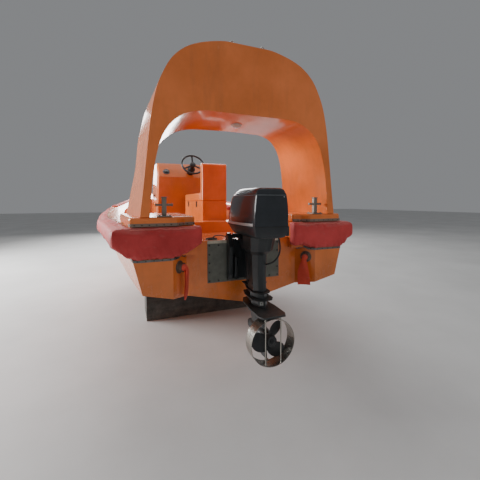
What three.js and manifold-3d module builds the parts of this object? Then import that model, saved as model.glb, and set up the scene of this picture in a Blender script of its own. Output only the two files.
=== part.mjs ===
// Open rescue boat with a self-righting arch and an outboard engine, standing on two blocks.
// Millimetres. +X starboard, +Y bow, +Z up. While it is drawn, y = 0 is the arch's aft face
// and z = 0 the floor. At the end the whole boat is slid along Y so that its box is centred.
import * as THREE from 'three';
import { mergeVertices } from 'three/addons/utils/BufferGeometryUtils.js';
import Module from 'manifold-3d';

const wasm = await Module();
wasm.setup();

// Driving dimensions
const GAP = 0.3;
const SOLE_Z = 920;
const SOLE_TOP = 932;
const TRANSOM_TOP = 1130;
const FENDER_FOOT = 1035;
const DECK_Z = 1266;
const PAD_TOP = 1340;
const ARCH_TOP = 2714;
const ARCH_CLEAR = 2158;
const ARCH_DEPTH = 830;
const TRANSOM_Y = 110;
const SPONSON_Y = -30;
const RECESS_Y = 45;
const WELL_HALF = 430;
const WELL_FRONT = 750;
const THWART_TOP = 1240;
const COCKPIT_AFT = 1000;

// Engine axes and stations
const TILT_Y = 95;
const TILT_Z = 1165;
const KING_Y = -10;
const PROP_Y = -375;
const PROP_Z = 460;
const PROP_RADIUS = 150;
const GUARD_RADIUS = 170;
const PLATE_Z = 645;
const JOINT_Z = 770;
const SPLIT_Z = 1275;

// Hull stations. One row per frame of the hull, from the stern to the stem.
// Keel is the keel's height, chine its half-width and height, deck the half-width at the
// fender's inner face, foot the height of the fender's foot and top that of the deck edge.
const HULL_STATIONS = [
  { y: -30, keel: 579, chine: 849, chineZ: 775, deck: 914, foot: 1035, top: 1266 },
  { y: 45, keel: 579, chine: 862, chineZ: 777, deck: 925, foot: 1035, top: 1266 },
  { y: 220, keel: 579, chine: 892, chineZ: 780, deck: 951, foot: 1035, top: 1266 },
  { y: 1000, keel: 579, chine: 1001, chineZ: 792, deck: 1065, foot: 1035, top: 1266 },
  { y: 1700, keel: 579, chine: 1078, chineZ: 800, deck: 1168, foot: 1037, top: 1268 },
  { y: 2300, keel: 579, chine: 1080, chineZ: 806, deck: 1203, foot: 1074, top: 1305 },
  { y: 2800, keel: 579, chine: 1025, chineZ: 816, deck: 1160, foot: 1122, top: 1353 },
  { y: 3030, keel: 580, chine: 984, chineZ: 824, deck: 1115, foot: 1146, top: 1377 },
  { y: 3700, keel: 592, chine: 805, chineZ: 862, deck: 960, foot: 1222, top: 1453 },
  { y: 4400, keel: 650, chine: 575, chineZ: 925, deck: 785, foot: 1304, top: 1535 },
  { y: 5000, keel: 762, chine: 360, chineZ: 1010, deck: 600, foot: 1376, top: 1607 },
  { y: 5400, keel: 900, chine: 200, chineZ: 1100, deck: 430, foot: 1424, top: 1655 },
  { y: 5650, keel: 1060, chine: 85, chineZ: 1190, deck: 270, foot: 1454, top: 1685 },
  { y: 5780, keel: 1230, chine: 20, chineZ: 1290, deck: 95, foot: 1469, top: 1700 },
];

// Cockpit well ahead of the thwart: its half-width at the sole and at the rim's height.
const COCKPIT_RIM_Z = 1400;
const COCKPIT_PLAN = [
  { y: 1000, foot: 800, rim: 880 },
  { y: 1700, foot: 900, rim: 1010 },
  { y: 2300, foot: 920, rim: 1030 },
  { y: 2800, foot: 860, rim: 985 },
  { y: 3700, foot: 600, rim: 790 },
  { y: 4250, foot: 400, rim: 625 },
];

// Stern and side fender. Inner and outer plan point, top, and how far the inner and the
// outer lower edge lie below the top.
const SIDE_FENDER = [
  { xi: 520, yi: 45, xo: 520, yo: -37, top: 1266, drop: 200, outer: 200 },
  { xi: 630, yi: 45, xo: 630, yo: -37, top: 1266, drop: 231, outer: 231 },
  { xi: 903, yi: 45, xo: 903, yo: -37, top: 1266, drop: 231, outer: 231 },
  { xi: 925, yi: 45, xo: 1042, yo: -37, top: 1266, drop: 231, outer: 121 },
  { xi: 951, yi: 220, xo: 1079, yo: 205, top: 1266, drop: 231, outer: 121 },
  { xi: 1065, yi: 1000, xo: 1194, yo: 992, top: 1266, drop: 231, outer: 123 },
  { xi: 1168, yi: 1700, xo: 1295, yo: 1695, top: 1268, drop: 231, outer: 126 },
  { xi: 1203, yi: 2300, xo: 1320, yo: 2306, top: 1305, drop: 231, outer: 126 },
  { xi: 1160, yi: 2800, xo: 1268, yo: 2812, top: 1353, drop: 231, outer: 126 },
];

// Bow fender, from its starboard end to the stem; the port half is its mirror.
const BOW_FENDER = [
  { xi: 1115, yi: 3030, xo: 1222, yo: 3055, top: 1397, drop: 251, outer: 140 },
  { xi: 960, yi: 3700, xo: 1060, yo: 3745, top: 1475, drop: 253, outer: 142 },
  { xi: 785, yi: 4400, xo: 882, yo: 4450, top: 1560, drop: 256, outer: 145 },
  { xi: 600, yi: 5000, xo: 690, yo: 5062, top: 1634, drop: 258, outer: 148 },
  { xi: 430, yi: 5400, xo: 508, yo: 5476, top: 1682, drop: 258, outer: 148 },
  { xi: 270, yi: 5650, xo: 324, yo: 5742, top: 1711, drop: 257, outer: 150 },
  { xi: 95, yi: 5780, xo: 118, yo: 5882, top: 1726, drop: 257, outer: 150 },
  { xi: 0, yi: 5780, xo: 0, yo: 5900, top: 1727, drop: 257, outer: 150 },
];

const INNER_END_DROP = { port: 130, starboard: 200 };
const FENDER_SEAM = 3;

// Arch outline at its aft face: height above the pad, and half-width outside there.
// Flare is how much wider the arch is at its forward face.
const ARCH_OUTSIDE = [
  { z: 0, half: 857, flare: 100 },
  { z: 240, half: 828, flare: 79 },
  { z: 480, half: 802, flare: 61 },
  { z: 710, half: 775, flare: 64 },
  { z: 855, half: 750, flare: 56 },
  { z: 960, half: 724, flare: 57 },
  { z: 1048, half: 690, flare: 60 },
  { z: 1182, half: 614, flare: 68 },
  { z: 1288, half: 488, flare: 66 },
  { z: 1350, half: 318, flare: 54 },
  { z: 1374, half: 172, flare: 38 },
];

const ARCH_INSIDE = [
  { z: 0, half: 790 },
  { z: 300, half: 763 },
  { z: 490, half: 728 },
  { z: 600, half: 692 },
  { z: 680, half: 644 },
  { z: 740, half: 584 },
  { z: 785, half: 508 },
  { z: 810, half: 420 },
  { z: 818, half: 330 },
];

// Plan of the arch's forward face: how deep the arch is at each half-width.
const ARCH_FORWARD = [
  { half: 0, y: 570 },
  { half: 360, y: 615 },
  { half: 500, y: 655 },
  { half: 640, y: 725 },
  { half: 730, y: 780 },
  { half: 800, y: ARCH_DEPTH },
];

// Cowl sections from the split line up. Aft face, its half-width, the widest place and its
// half-width, front face and its half-width.
const COWL_SECTIONS = [
  { z: 1275, aft: -450, aftHalf: 122, wideY: -60, wide: 175, front: 190, frontHalf: 92 },
  { z: 1400, aft: -454, aftHalf: 116, wideY: -65, wide: 170, front: 172, frontHalf: 88 },
  { z: 1498, aft: -452, aftHalf: 106, wideY: -75, wide: 156, front: 118, frontHalf: 76 },
  { z: 1550, aft: -432, aftHalf: 88, wideY: -90, wide: 126, front: 10, frontHalf: 56 },
];

const PAN_SECTIONS = [
  { z: 1192, aft: -430, aftHalf: 96, wideY: -80, wide: 108, front: 62, frontHalf: 60 },
  { z: 1218, aft: -444, aftHalf: 114, wideY: -70, wide: 150, front: 122, frontHalf: 80 },
  { z: 1274.7, aft: -450, aftHalf: 122, wideY: -60, wide: 175, front: 188, frontHalf: 92 },
];

const SEAT = { half: 145, aft: 1030, fore: 2130, seam: 1465, top: 1563, back: 1150, backTop: 1898 };
const CONSOLE = { aft: 2390, dashFoot: 1846, top: 2072 };
const WHEEL = { y: 2255, z: 2034, lean: 28, radius: 180 };
const BITT = { x: 682, y: 54, height: 152, bar: 90, barHalf: 62 };
const SCUPPER = { x: 575, y: 31.6, z: 950, ring: 50, bore: 30 };
const CABLE_RADIUS = 5;
const SOCKET = { x: -98, y: 170, half: 14 };
const PIN_RADIUS = 11;
const SHAFT_RADIUS = 9;

const root = new THREE.Group();
const boat = new THREE.Group();
root.add(boat);

// Materials
const paint = (color, roughness, metalness = 0) => new THREE.MeshStandardMaterial({
  color, roughness, metalness,
});
const GRP = paint(0xe8621e, 0.28);
const RED_COVER = paint(0xc63a33, 0.62);
const DRAIN_CLOTH = paint(0xe0452a, 0.8);
const GALVANISED = paint(0x8d8f8c, 0.5, 0.85);
const STAINLESS = paint(0xb9b4a6, 0.25, 0.95);
const GREY_PLATE = paint(0x77786f, 0.6, 0.6);
const ENGINE_BLACK = paint(0x17191b, 0.3);
const CAST_BLACK = paint(0x232527, 0.5);
const RUBBER = paint(0x161616, 0.75);
const BLOCK_DARK = paint(0x3a3a36, 0.9);
const LAMP = paint(0xd9d6cc, 0.3);
const GREY_SOLE = paint(0x8a8f90, 0.85);

// Solids
function solidOf(geometry) {
  const bare = geometry.clone();
  bare.deleteAttribute('normal');
  bare.deleteAttribute('uv');
  const merged = mergeVertices(bare, 1e-3);
  return new wasm.Manifold(new wasm.Mesh({
    numProp: 3,
    vertProperties: new Float32Array(merged.attributes.position.array),
    triVerts: new Uint32Array(merged.index.array),
  }));
}

function geometryOf(solid) {
  const mesh = solid.getMesh();
  const geometry = new THREE.BufferGeometry();
  geometry.setAttribute('position', new THREE.BufferAttribute(mesh.vertProperties, 3));
  geometry.setIndex(new THREE.BufferAttribute(mesh.triVerts, 1));
  geometry.computeVertexNormals();
  return geometry;
}

const joined = (...parts) => geometryOf(parts.map(solidOf).reduce((a, b) => a.add(b)));

const cut = (body, ...tools) => geometryOf(
  tools.map(solidOf).reduce((a, b) => a.subtract(b), solidOf(body)),
);

const common = (a, b) => geometryOf(solidOf(a).intersect(solidOf(b)));

function block(x0, x1, y0, y1, z0, z1) {
  const geometry = new THREE.BoxGeometry(x1 - x0, y1 - y0, z1 - z0);
  return geometry.translate((x0 + x1) / 2, (y0 + y1) / 2, (z0 + z1) / 2);
}

function flipped(geometry) {
  const mirror = geometry.clone().scale(-1, 1, 1);
  const order = mirror.index ? mirror : mergeVertices(mirror);
  const index = order.index.array;
  for (let i = 0; i < index.length; i += 3) [index[i], index[i + 1]] = [index[i + 1], index[i]];
  return order;
}

// A closed body through sections that each hold the same number of points. The two end
// sections are flat, and every section runs the same way round.
function loft(sections) {
  const count = sections[0].length;
  const positions = sections.flat().flatMap((p) => [p.x, p.y, p.z]);
  const index = [];
  for (let s = 0; s + 1 < sections.length; s += 1) {
    for (let i = 0; i < count; i += 1) {
      const a = s * count + i;
      const b = s * count + ((i + 1) % count);
      index.push(a, b, a + count, b, b + count, a + count);
    }
  }
  const caps = capTriangles(sections[0]);
  const last = (sections.length - 1) * count;
  for (const [a, b, c] of caps) index.push(c, b, a, last + a, last + b, last + c);
  const geometry = new THREE.BufferGeometry();
  geometry.setAttribute('position', new THREE.Float32BufferAttribute(positions, 3));
  geometry.setIndex(index);
  return outward(geometry);
}

function capTriangles(section) {
  const normal = new THREE.Vector3();
  section.forEach((p, i) => normal.add(p.clone().cross(section[(i + 1) % section.length])));
  normal.normalize();
  const turn = new THREE.Quaternion().setFromUnitVectors(normal, new THREE.Vector3(0, 0, 1));
  const flat = section.map((p) => p.clone().applyQuaternion(turn));
  return THREE.ShapeUtils.triangulateShape(flat.map((p) => new THREE.Vector2(p.x, p.y)), []);
}

function outward(geometry) {
  const p = geometry.attributes.position;
  const index = geometry.index.array;
  const corner = (i) => new THREE.Vector3().fromBufferAttribute(p, index[i]);
  let volume = 0;
  for (let i = 0; i < index.length; i += 3) {
    volume += corner(i).dot(corner(i + 1).cross(corner(i + 2)));
  }
  if (volume < 0) {
    for (let i = 0; i < index.length; i += 3) [index[i], index[i + 1]] = [index[i + 1], index[i]];
  }
  return geometry;
}

// Prisms from a flat outline: along Z from [x, y] points, along X from [y, z], along Y from [x, z].
function prismZ(outline, z0, z1) {
  const at = (z) => outline.map(([x, y]) => new THREE.Vector3(x, y, z));
  return loft([at(z0), at(z1)]);
}

function prismX(outline, x0, x1) {
  const at = (x) => outline.map(([y, z]) => new THREE.Vector3(x, y, z));
  return loft([at(x0), at(x1)]);
}

function prismY(outline, y0, y1) {
  const at = (y) => outline.map(([x, z]) => new THREE.Vector3(x, y, z));
  return loft([at(y0), at(y1)]);
}

// A round bar between two points.
function bar(from, to, radius, sides = 12) {
  const a = new THREE.Vector3(...from);
  const b = new THREE.Vector3(...to);
  const way = b.clone().sub(a);
  const geometry = new THREE.CylinderGeometry(radius, radius, way.length(), sides);
  const turn = new THREE.Quaternion().setFromUnitVectors(new THREE.Vector3(0, 1, 0), way.normalize());
  return geometry.applyQuaternion(turn).translate(...a.add(b).multiplyScalar(0.5).toArray());
}

function tube(points, radius, steps, sides = 8) {
  const path = new THREE.CatmullRomCurve3(points.map((p) => new THREE.Vector3(...p)));
  const ring = new THREE.Shape();
  ring.absarc(0, 0, radius, 0, Math.PI * 2);
  return new THREE.ExtrudeGeometry(ring, { steps, curveSegments: sides, extrudePath: path });
}

// A body turned about the Y axis from [radius, height] pairs, then stood along Z.
function turned(profile, sides = 24) {
  const points = profile.map(([r, z]) => new THREE.Vector2(r, z));
  return new THREE.LatheGeometry(points, sides).rotateX(Math.PI / 2);
}

// Rows eased onto a smooth curve through the given ones, with so many steps to each gap. Pace
// names the columns whose way along the rows sets the spacing. No column swings past its rows.
function eased(rows, pace, steps) {
  const reach = [0];
  for (let i = 1; i < rows.length; i += 1) {
    reach.push(reach[i - 1] + Math.hypot(...pace.map((key) => rows[i][key] - rows[i - 1][key])));
  }
  const slopes = {};
  for (const key of Object.keys(rows[0])) {
    const rise = rows.slice(1).map((row, i) => (row[key] - rows[i][key]) / (reach[i + 1] - reach[i]));
    slopes[key] = rows.map((row, i) => {
      if (i === 0 || i === rise.length) return rise[Math.min(i, rise.length - 1)];
      return rise[i - 1] * rise[i] <= 0 ? 0 : 2 / (1 / rise[i - 1] + 1 / rise[i]);
    });
  }
  const between = (i, t) => Object.fromEntries(Object.keys(rows[0]).map((key) => {
    const span = reach[i + 1] - reach[i];
    const [p, q] = [rows[i][key], rows[i + 1][key]];
    const [u, v] = [slopes[key][i] * span, slopes[key][i + 1] * span];
    const eased = p + t * (u + t * (3 * (q - p) - 2 * u - v + t * (2 * (p - q) + u + v)));
    return [key, eased];
  }));
  const gaps = rows.slice(1).flatMap((row, i) => (
    Array.from({ length: steps }, (_, k) => between(i, k / steps))
  ));
  return [...gaps, rows.at(-1)];
}

// The rows of a starboard half followed by their mirror images, from the middle out.
function acrossRows(rows, keys) {
  const port = rows.filter((row) => row[keys[0]] > 0).reverse()
    .map((row) => ({ ...row, ...Object.fromEntries(keys.map((key) => [key, -row[key]])) }));
  return [...rows, ...port];
}

function add(name, geometry, material, parent = boat) {
  const mesh = new THREE.Mesh(geometry, material);
  mesh.name = name;
  parent.add(mesh);
  return mesh;
}

const mirroredRing = (points) => [
  ...points,
  ...points.filter((p) => Math.abs(p.x) > 1e-6).reverse().map((p) => new THREE.Vector3(-p.x, p.y, p.z)),
];

// Hull: one moulding, its cockpit, motor well and notched stern cut from the loft.
function hullSection(row) {
  return mirroredRing([
    new THREE.Vector3(0, row.y, row.keel),
    new THREE.Vector3(row.chine, row.y, row.chineZ),
    new THREE.Vector3(row.deck, row.y, row.foot),
    new THREE.Vector3(row.deck, row.y, row.top),
  ]);
}

// Plan outline of the cockpit at a share of the way from its foot to its rim.
function cockpitOutline(share, inset = 0) {
  const rows = eased(COCKPIT_PLAN, ['y'], 3);
  const half = (row) => row.foot + (row.rim - row.foot) * share - inset;
  const reach = [COCKPIT_AFT + inset, rows.at(-1).y - inset];
  const along = (row) => THREE.MathUtils.clamp(row.y, ...reach);
  const starboard = rows.map((row) => [half(row), along(row)]);
  const port = rows.map((row) => [-half(row), along(row)]).reverse();
  return [...starboard, ...port];
}

function cockpitVoid(high) {
  const at = (share, z) => cockpitOutline(share).map(([x, y]) => new THREE.Vector3(x, y, z));
  return loft([at(0, SOLE_Z), at(1, COCKPIT_RIM_Z), at(1, high)]);
}

// Bare moulding that fills the gap between the side and the bow fender.
function gateBlock() {
  const rows = [
    { xi: 1140, yi: 2799.3, xo: 1267, yo: 2813.4, top: 1353 },
    { xi: 1095, yi: 3023.8, xo: 1224, yo: 3054, top: 1377 },
  ];
  return loft(rows.map((row) => fenderSection({ ...row, drop: 229, outer: 126 })));
}

function hullSolid() {
  const gate = gateBlock();
  const shell = joined(loft(eased(HULL_STATIONS, ['y'], 3).map(hullSection)), gate, flipped(gate));
  const high = 2000;
  const notch = prismZ([
    [-630, -60], [-630, SPONSON_Y], [-505, TRANSOM_Y], [505, TRANSOM_Y], [630, SPONSON_Y], [630, -60],
  ], 0, FENDER_FOOT);
  return cut(
    shell,
    notch,
    block(-1300, 1300, -60, RECESS_Y, FENDER_FOOT, high),
    block(-WELL_HALF, WELL_HALF, -60, TRANSOM_Y, FENDER_FOOT - 1, high),
    block(-WELL_HALF, WELL_HALF, -60, WELL_FRONT, TRANSOM_TOP, high),
    block(-WELL_HALF, WELL_HALF, WELL_FRONT - 1, COCKPIT_AFT + 1, THWART_TOP, high),
    cockpitVoid(high),
  );
}

// Support blocks, cut to the bottom of the hull.
function supportBlock(hull, y0, y1, half) {
  const lowered = hull.clone().translate(0, 0, -GAP);
  return cut(block(-half, half, y0, y1, 0, 900), lowered);
}

function quarterPad() {
  return prismZ([
    [924, 0], [592, 0], [532, 60], [445, 60], [445, 860], [1020, 860], [1000, 560], [940, 40],
  ], DECK_Z + GAP, PAD_TOP);
}

// Arch: the aft outline lofted to the wider forward one, then hollowed in plan at the front.
function archSection(y, share) {
  const outside = eased(acrossRows(ARCH_OUTSIDE, ['half', 'flare']), ['half', 'z'], 4)
    .map((row) => [row.half + row.flare * share, row.z]);
  const inside = eased(acrossRows(ARCH_INSIDE, ['half']), ['half', 'z'], 4).reverse()
    .map((row) => [row.half, row.z]);
  return [...outside, ...inside].map(([x, z]) => new THREE.Vector3(x, y, PAD_TOP + GAP + z));
}

function archSolid() {
  const body = loft([archSection(0, 0), archSection(ARCH_DEPTH, 1)]);
  const rows = eased(acrossRows([...ARCH_FORWARD].reverse(), ['half']), ['half'], 3);
  const outline = rows.map((row) => [row.half, row.y]);
  const front = prismZ([...outline, [-800, 1400], [800, 1400]], PAD_TOP - 10, ARCH_TOP + 50);
  return cut(body, front);
}

// Fenders: a foam core's section is square behind and chamfered below outside. It is drawn a
// little way into the hull and then cut back to the hull's side.
function fenderSection(row) {
  const at = (share, z) => new THREE.Vector3(
    row.xi + (row.xo - row.xi) * share,
    row.yi + (row.yo - row.yi) * share,
    z,
  );
  const sunk = -10 / Math.hypot(row.xo - row.xi, row.yo - row.yi);
  return [
    at(sunk, row.top - row.drop + GAP),
    at(1, row.top - row.outer),
    at(1, row.top - 22),
    at(0.8, row.top),
    at(sunk, row.top - FENDER_SEAM),
  ];
}

// A fender's core cut clear of the hull on both sides, along Y, above and below.
function cutClear(core, hull, along) {
  const shifts = [[GAP, GAP], [-GAP, GAP], [GAP, -GAP]];
  return cut(core, ...shifts.map(([slide, lift]) => hull.clone().translate(slide, along, lift)));
}

function sideFender(hull, side) {
  const endDrop = INNER_END_DROP[side];
  const end = { ...SIDE_FENDER[0], xi: 417, xo: 417, drop: endDrop, outer: endDrop };
  const core = loft([end, ...eased(SIDE_FENDER, ['xo', 'yo'], 3)].map(fenderSection));
  const fender = cutClear(core, hull, -GAP);
  return side === 'port' ? flipped(fender) : fender;
}

function bowFender(hull) {
  const rows = eased(acrossRows(BOW_FENDER, ['xi', 'xo']), ['xo', 'yo'], 3);
  return cutClear(loft(rows.map(fenderSection)), hull, GAP);
}

// Cross-shaped towing post on its base plate, standing at the origin.
function towingPost() {
  return joined(
    block(-52, 52, -52, 52, 0, 9),
    block(-17, 17, -17, 17, 8, BITT.height - 7),
    block(-21, 21, -21, 21, BITT.height - 8, BITT.height),
    bar([-BITT.barHalf, 0, BITT.bar], [BITT.barHalf, 0, BITT.bar], 9),
    bar([-BITT.barHalf - 3, 0, BITT.bar], [-BITT.barHalf + 5, 0, BITT.bar], 12.5),
    bar([BITT.barHalf - 5, 0, BITT.bar], [BITT.barHalf + 3, 0, BITT.bar], 12.5),
  );
}

function addTowingPosts() {
  const places = [
    { name: 'bitt_port', x: -BITT.x, y: BITT.y, z: PAD_TOP, lean: 0 },
    { name: 'bitt_starboard', x: BITT.x, y: BITT.y, z: PAD_TOP, lean: 0 },
    { name: 'bitt_bow', x: 0, y: 4850, z: 1589.1, lean: Math.atan2(72, 600) },
  ];
  for (const place of places) {
    const post = add(place.name, towingPost(), GALVANISED);
    post.position.set(place.x, place.y, place.z + GAP);
    post.rotation.x = place.lean;
  }
}

function archEye() {
  const arc = [];
  for (let i = 0; i <= 8; i += 1) {
    const angle = Math.PI * (i / 8);
    arc.push([-18 * Math.cos(angle), 0, 6 + 22 * Math.sin(angle)]);
  }
  return joined(block(-30, 30, -14, 14, 0, 5), tube([[-18, 0, 2], ...arc, [18, 0, 2]], 4, 14));
}

// Drain scupper on the stern's angled face and the cloth sleeve that hangs from it.
const FACE_NORMAL = new THREE.Vector3(-140, -125, 0).normalize();
const FACE_ALONG = new THREE.Vector3(-125, 140, 0).normalize();

function scupper() {
  const profile = [
    [SCUPPER.bore, GAP], [SCUPPER.ring, GAP], [SCUPPER.ring, 6], [37, 9], [36, 38], [SCUPPER.bore, 38],
    [SCUPPER.bore, GAP],
  ];
  const turn = new THREE.Quaternion().setFromUnitVectors(new THREE.Vector3(0, 0, 1), FACE_NORMAL);
  return turned(profile).applyQuaternion(turn).translate(SCUPPER.x, SCUPPER.y, SCUPPER.z);
}

// Rows of the sleeve: how far out from the face and below the scupper, the half-width along
// the face, the half-thickness, and the section's lean from upright to level.
const SLEEVE = [
  { out: 38.4, down: 0, half: 35, thick: 35, lean: 0 },
  { out: 58, down: 8, half: 36, thick: 35, lean: 31 },
  { out: 68, down: 48, half: 40, thick: 26, lean: 90 },
  { out: 64, down: 140, half: 54, thick: 15, lean: 90 },
  { out: 61, down: 250, half: 66, thick: 9, lean: 90 },
];

function drainSleeve() {
  const sides = 12;
  const sections = SLEEVE.map((row) => {
    const lean = THREE.MathUtils.degToRad(row.lean);
    const centre = new THREE.Vector3(SCUPPER.x, SCUPPER.y, SCUPPER.z - row.down)
      .addScaledVector(FACE_NORMAL, row.out);
    const across = FACE_NORMAL.clone().multiplyScalar(Math.sin(lean))
      .add(new THREE.Vector3(0, 0, Math.cos(lean)));
    return Array.from({ length: sides }, (_, i) => {
      const angle = (i / sides) * Math.PI * 2;
      return centre.clone()
        .addScaledVector(FACE_ALONG, row.half * Math.cos(angle))
        .addScaledVector(across, row.thick * Math.sin(angle));
    });
  });
  return loft(sections);
}

// Straddle seat: an open locker with a hinged lid, and a backrest box behind.
function addSeat() {
  const wall = 22;
  const foot = SOLE_TOP + GAP;
  const { half, aft, fore, seam, top, back, backTop } = SEAT;
  add('seat_base', cut(
    block(-half, half, aft, fore, foot, seam),
    block(-half + wall, half - wall, back + wall, fore - wall, foot + wall, seam + 1),
  ), GRP);
  add('seat_backrest', prismX([
    [aft, seam + GAP], [back, seam + GAP], [back - 10, backTop - 20], [back - 30, backTop],
    [aft + 20, backTop], [aft, backTop - 20],
  ], -half, half), GRP);
  add('seat_lid', prismY([
    [-half, seam + GAP], [half, seam + GAP], [half, top - 16], [half - 16, top],
    [-half + 16, top], [-half, top - 16],
  ], back + 6, fore), GRP);
  const latch = () => joined(
    block(-5, 0, -14, 14, -78, 0),
    block(-11, -4, -9, 9, -66, -12),
  );
  [1340, 1850].forEach((y, i) => {
    const mesh = add(`seat_latch_${i + 1}`, latch(), RUBBER);
    mesh.position.set(-half - GAP, y, seam - 2);
  });
}

// Console: a tapering box with a tilted dash, a side door and a locker behind it.
function consoleShell() {
  const ring = (z, half, aft, fore, trim) => [
    [half - trim, aft], [half, aft + trim], [half, fore - trim], [half - trim, fore],
    [-half + trim, fore], [-half, fore - trim], [-half, aft + trim], [-half + trim, aft],
  ].map(([x, y]) => new THREE.Vector3(x, y, z));
  return loft([
    ring(SOLE_TOP + GAP, 562, CONSOLE.aft, 3350, 30),
    ring(CONSOLE.dashFoot, 526, CONSOLE.aft + 10, 3180, 30),
    ring(CONSOLE.top, 516, CONSOLE.aft + 170, 3020, 30),
  ]);
}

// Side door of the console. Its hinge line leans with the side it hangs on.
const DOOR = { y0: 2660, y1: 2960, z0: 1320, z1: 1800, back: -506 };
const HINGE = { y: 2962.5, off: 7.5, radius: 7, low: 1400, high: 1700, length: 26 };
const sideX = (z) => -THREE.MathUtils.mapLinear(z, SOLE_TOP + GAP, CONSOLE.dashFoot, 562, 526);

// One knuckle on the hinge line with the leaf that fastens it, towards the bow or the stern.
function knuckle(z, towards) {
  const line = (height) => [sideX(height) - HINGE.off, HINGE.y, height];
  const leaf = [HINGE.y + 2 * towards, HINGE.y + 34 * towards].sort((a, b) => a - b);
  const plate = (height) => [
    new THREE.Vector3(sideX(height) - 4, leaf[0], height),
    new THREE.Vector3(sideX(height) - 4, leaf[1], height),
    new THREE.Vector3(sideX(height) + 3, leaf[1], height),
    new THREE.Vector3(sideX(height) + 3, leaf[0] + (towards > 0 ? 3 : 0), height),
  ];
  const barrel = bar(line(z), line(z + HINGE.length), HINGE.radius, 12);
  return joined(barrel, loft([plate(z + 1), plate(z + HINGE.length - 1)]));
}

function addConsole() {
  const shell = consoleShell();
  const clear = 5;
  const { y0, y1, z0, z1, back } = DOOR;
  const frame = block(-700, back + clear, y0 - clear, y1 + clear, z0 - clear, z1 + clear);
  const lip = 15;
  const locker = block(back, -180, y0 + lip, y1 - lip, z0 + lip, z1 - lip);
  const fixed = [HINGE.low, HINGE.high].map((z) => knuckle(z, 1));
  add('console', joined(cut(shell, frame, locker), ...fixed), GRP);
  const leaf = common(shell, block(-700, back, y0, y1, z0, z1));
  const moving = [HINGE.low, HINGE.high].map((z) => knuckle(z + HINGE.length + GAP, -1));
  add('console_door', joined(leaf, ...moving), GRP);
  const dashTilt = Math.atan2(160, CONSOLE.top - CONSOLE.dashFoot);
  const compass = add('compass', turned([[0, GAP], [54, GAP], [54, 9], [44, 15], [0, 17]]), RUBBER);
  compass.position.set(-380, 2400 + (1928 - CONSOLE.dashFoot) * Math.tan(dashTilt), 1928);
  compass.rotation.x = Math.PI / 2 - dashTilt;
  const throttle = joined(
    block(330, 430, CONSOLE.aft - 60, CONSOLE.aft + 40, 1700, 1820),
    bar([380, CONSOLE.aft - 30, 1810], [380, CONSOLE.aft - 95, 1905], 9, 8),
  );
  add('throttle_box', cut(throttle, consoleShell().translate(0, -GAP, 0)), RUBBER);
}

function addHelm() {
  const helm = new THREE.Group();
  helm.position.set(0, WHEEL.y, WHEEL.z);
  helm.rotation.x = THREE.MathUtils.degToRad(90 - WHEEL.lean);
  boat.add(helm);
  const rim = new THREE.TorusGeometry(WHEEL.radius - 13, 13, 8, 32);
  const spokes = [90, 210, 330].map((turn) => {
    const angle = THREE.MathUtils.degToRad(turn);
    const reach = WHEEL.radius - 13;
    return bar([0, 0, -14], [reach * Math.cos(angle), reach * Math.sin(angle), 0], 11, 8);
  });
  const hub = turned([[0, -42], [30, -42], [46, -18], [46, 0], [0, 8]], 16);
  const bore = bar([0, 0, -60], [0, 0, -15], SHAFT_RADIUS + GAP, 16);
  add('steering_wheel', cut(joined(rim, hub, ...spokes), bore), RUBBER, helm);
  const column = joined(
    turned([[0, -260], [58, -260], [58, -120], [34, -100], [34, -47], [0, -47]], 20),
    bar([0, 0, -60], [0, 0, -16], SHAFT_RADIUS, 16),
  );
  const clipped = column.applyMatrix4(new THREE.Matrix4().makeRotationX(helm.rotation.x))
    .translate(0, WHEEL.y, WHEEL.z);
  const face = consoleShell().translate(0, -GAP, 0);
  add('steering_column', cut(clipped, face), CAST_BLACK);
}

// Red pad along the inside of the bow, its back cut to the slope of the cockpit wall.
function bowPad() {
  const rows = [{ y: 3080, half: 930 }, { y: 3700, half: 790 }, { y: 4230, half: 633 }];
  const height = (y) => THREE.MathUtils.mapLinear(y, 3030, 4400, 1377, 1535);
  const pad = loft(rows.map(({ y, half }) => {
    const top = height(y) - 16;
    return [
      [half + 20, top - 80], [half + 20, top], [half - 52, top - 4], [half - 58, top - 40],
      [half - 52, top - 76],
    ].map(([x, z]) => new THREE.Vector3(x, y, z));
  }));
  return common(pad, cockpitVoid(2000).translate(-GAP, 0, 0));
}

// Outboard engine
function engineOutline(row, inset = 0) {
  const { z, aft, aftHalf, wideY, wide, front, frontHalf } = row;
  const half = [
    [0, aft + inset], [aftHalf - 26 - inset, aft + inset], [aftHalf - inset, aft + 24 + inset],
    [wide * 0.94 - inset, (aft + wideY) / 2], [wide - inset, wideY],
    [wide * 0.93 - inset, wideY + (front - wideY) * 0.5], [frontHalf - inset, front - 28 - inset],
    [frontHalf - 34 - inset, front - inset], [0, front - inset],
  ];
  return mirroredRing(half.map(([x, y]) => new THREE.Vector3(x, y, z)));
}

function cowlSolid() {
  const skin = 12;
  const outer = loft(COWL_SECTIONS.map((row) => engineOutline(row)));
  const inner = loft(COWL_SECTIONS.map((row, i) => {
    const z = i === 0 ? row.z - 1 : row.z - (i === COWL_SECTIONS.length - 1 ? skin : 0);
    return engineOutline({ ...row, z }, skin);
  }));
  return cut(outer, inner);
}

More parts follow.
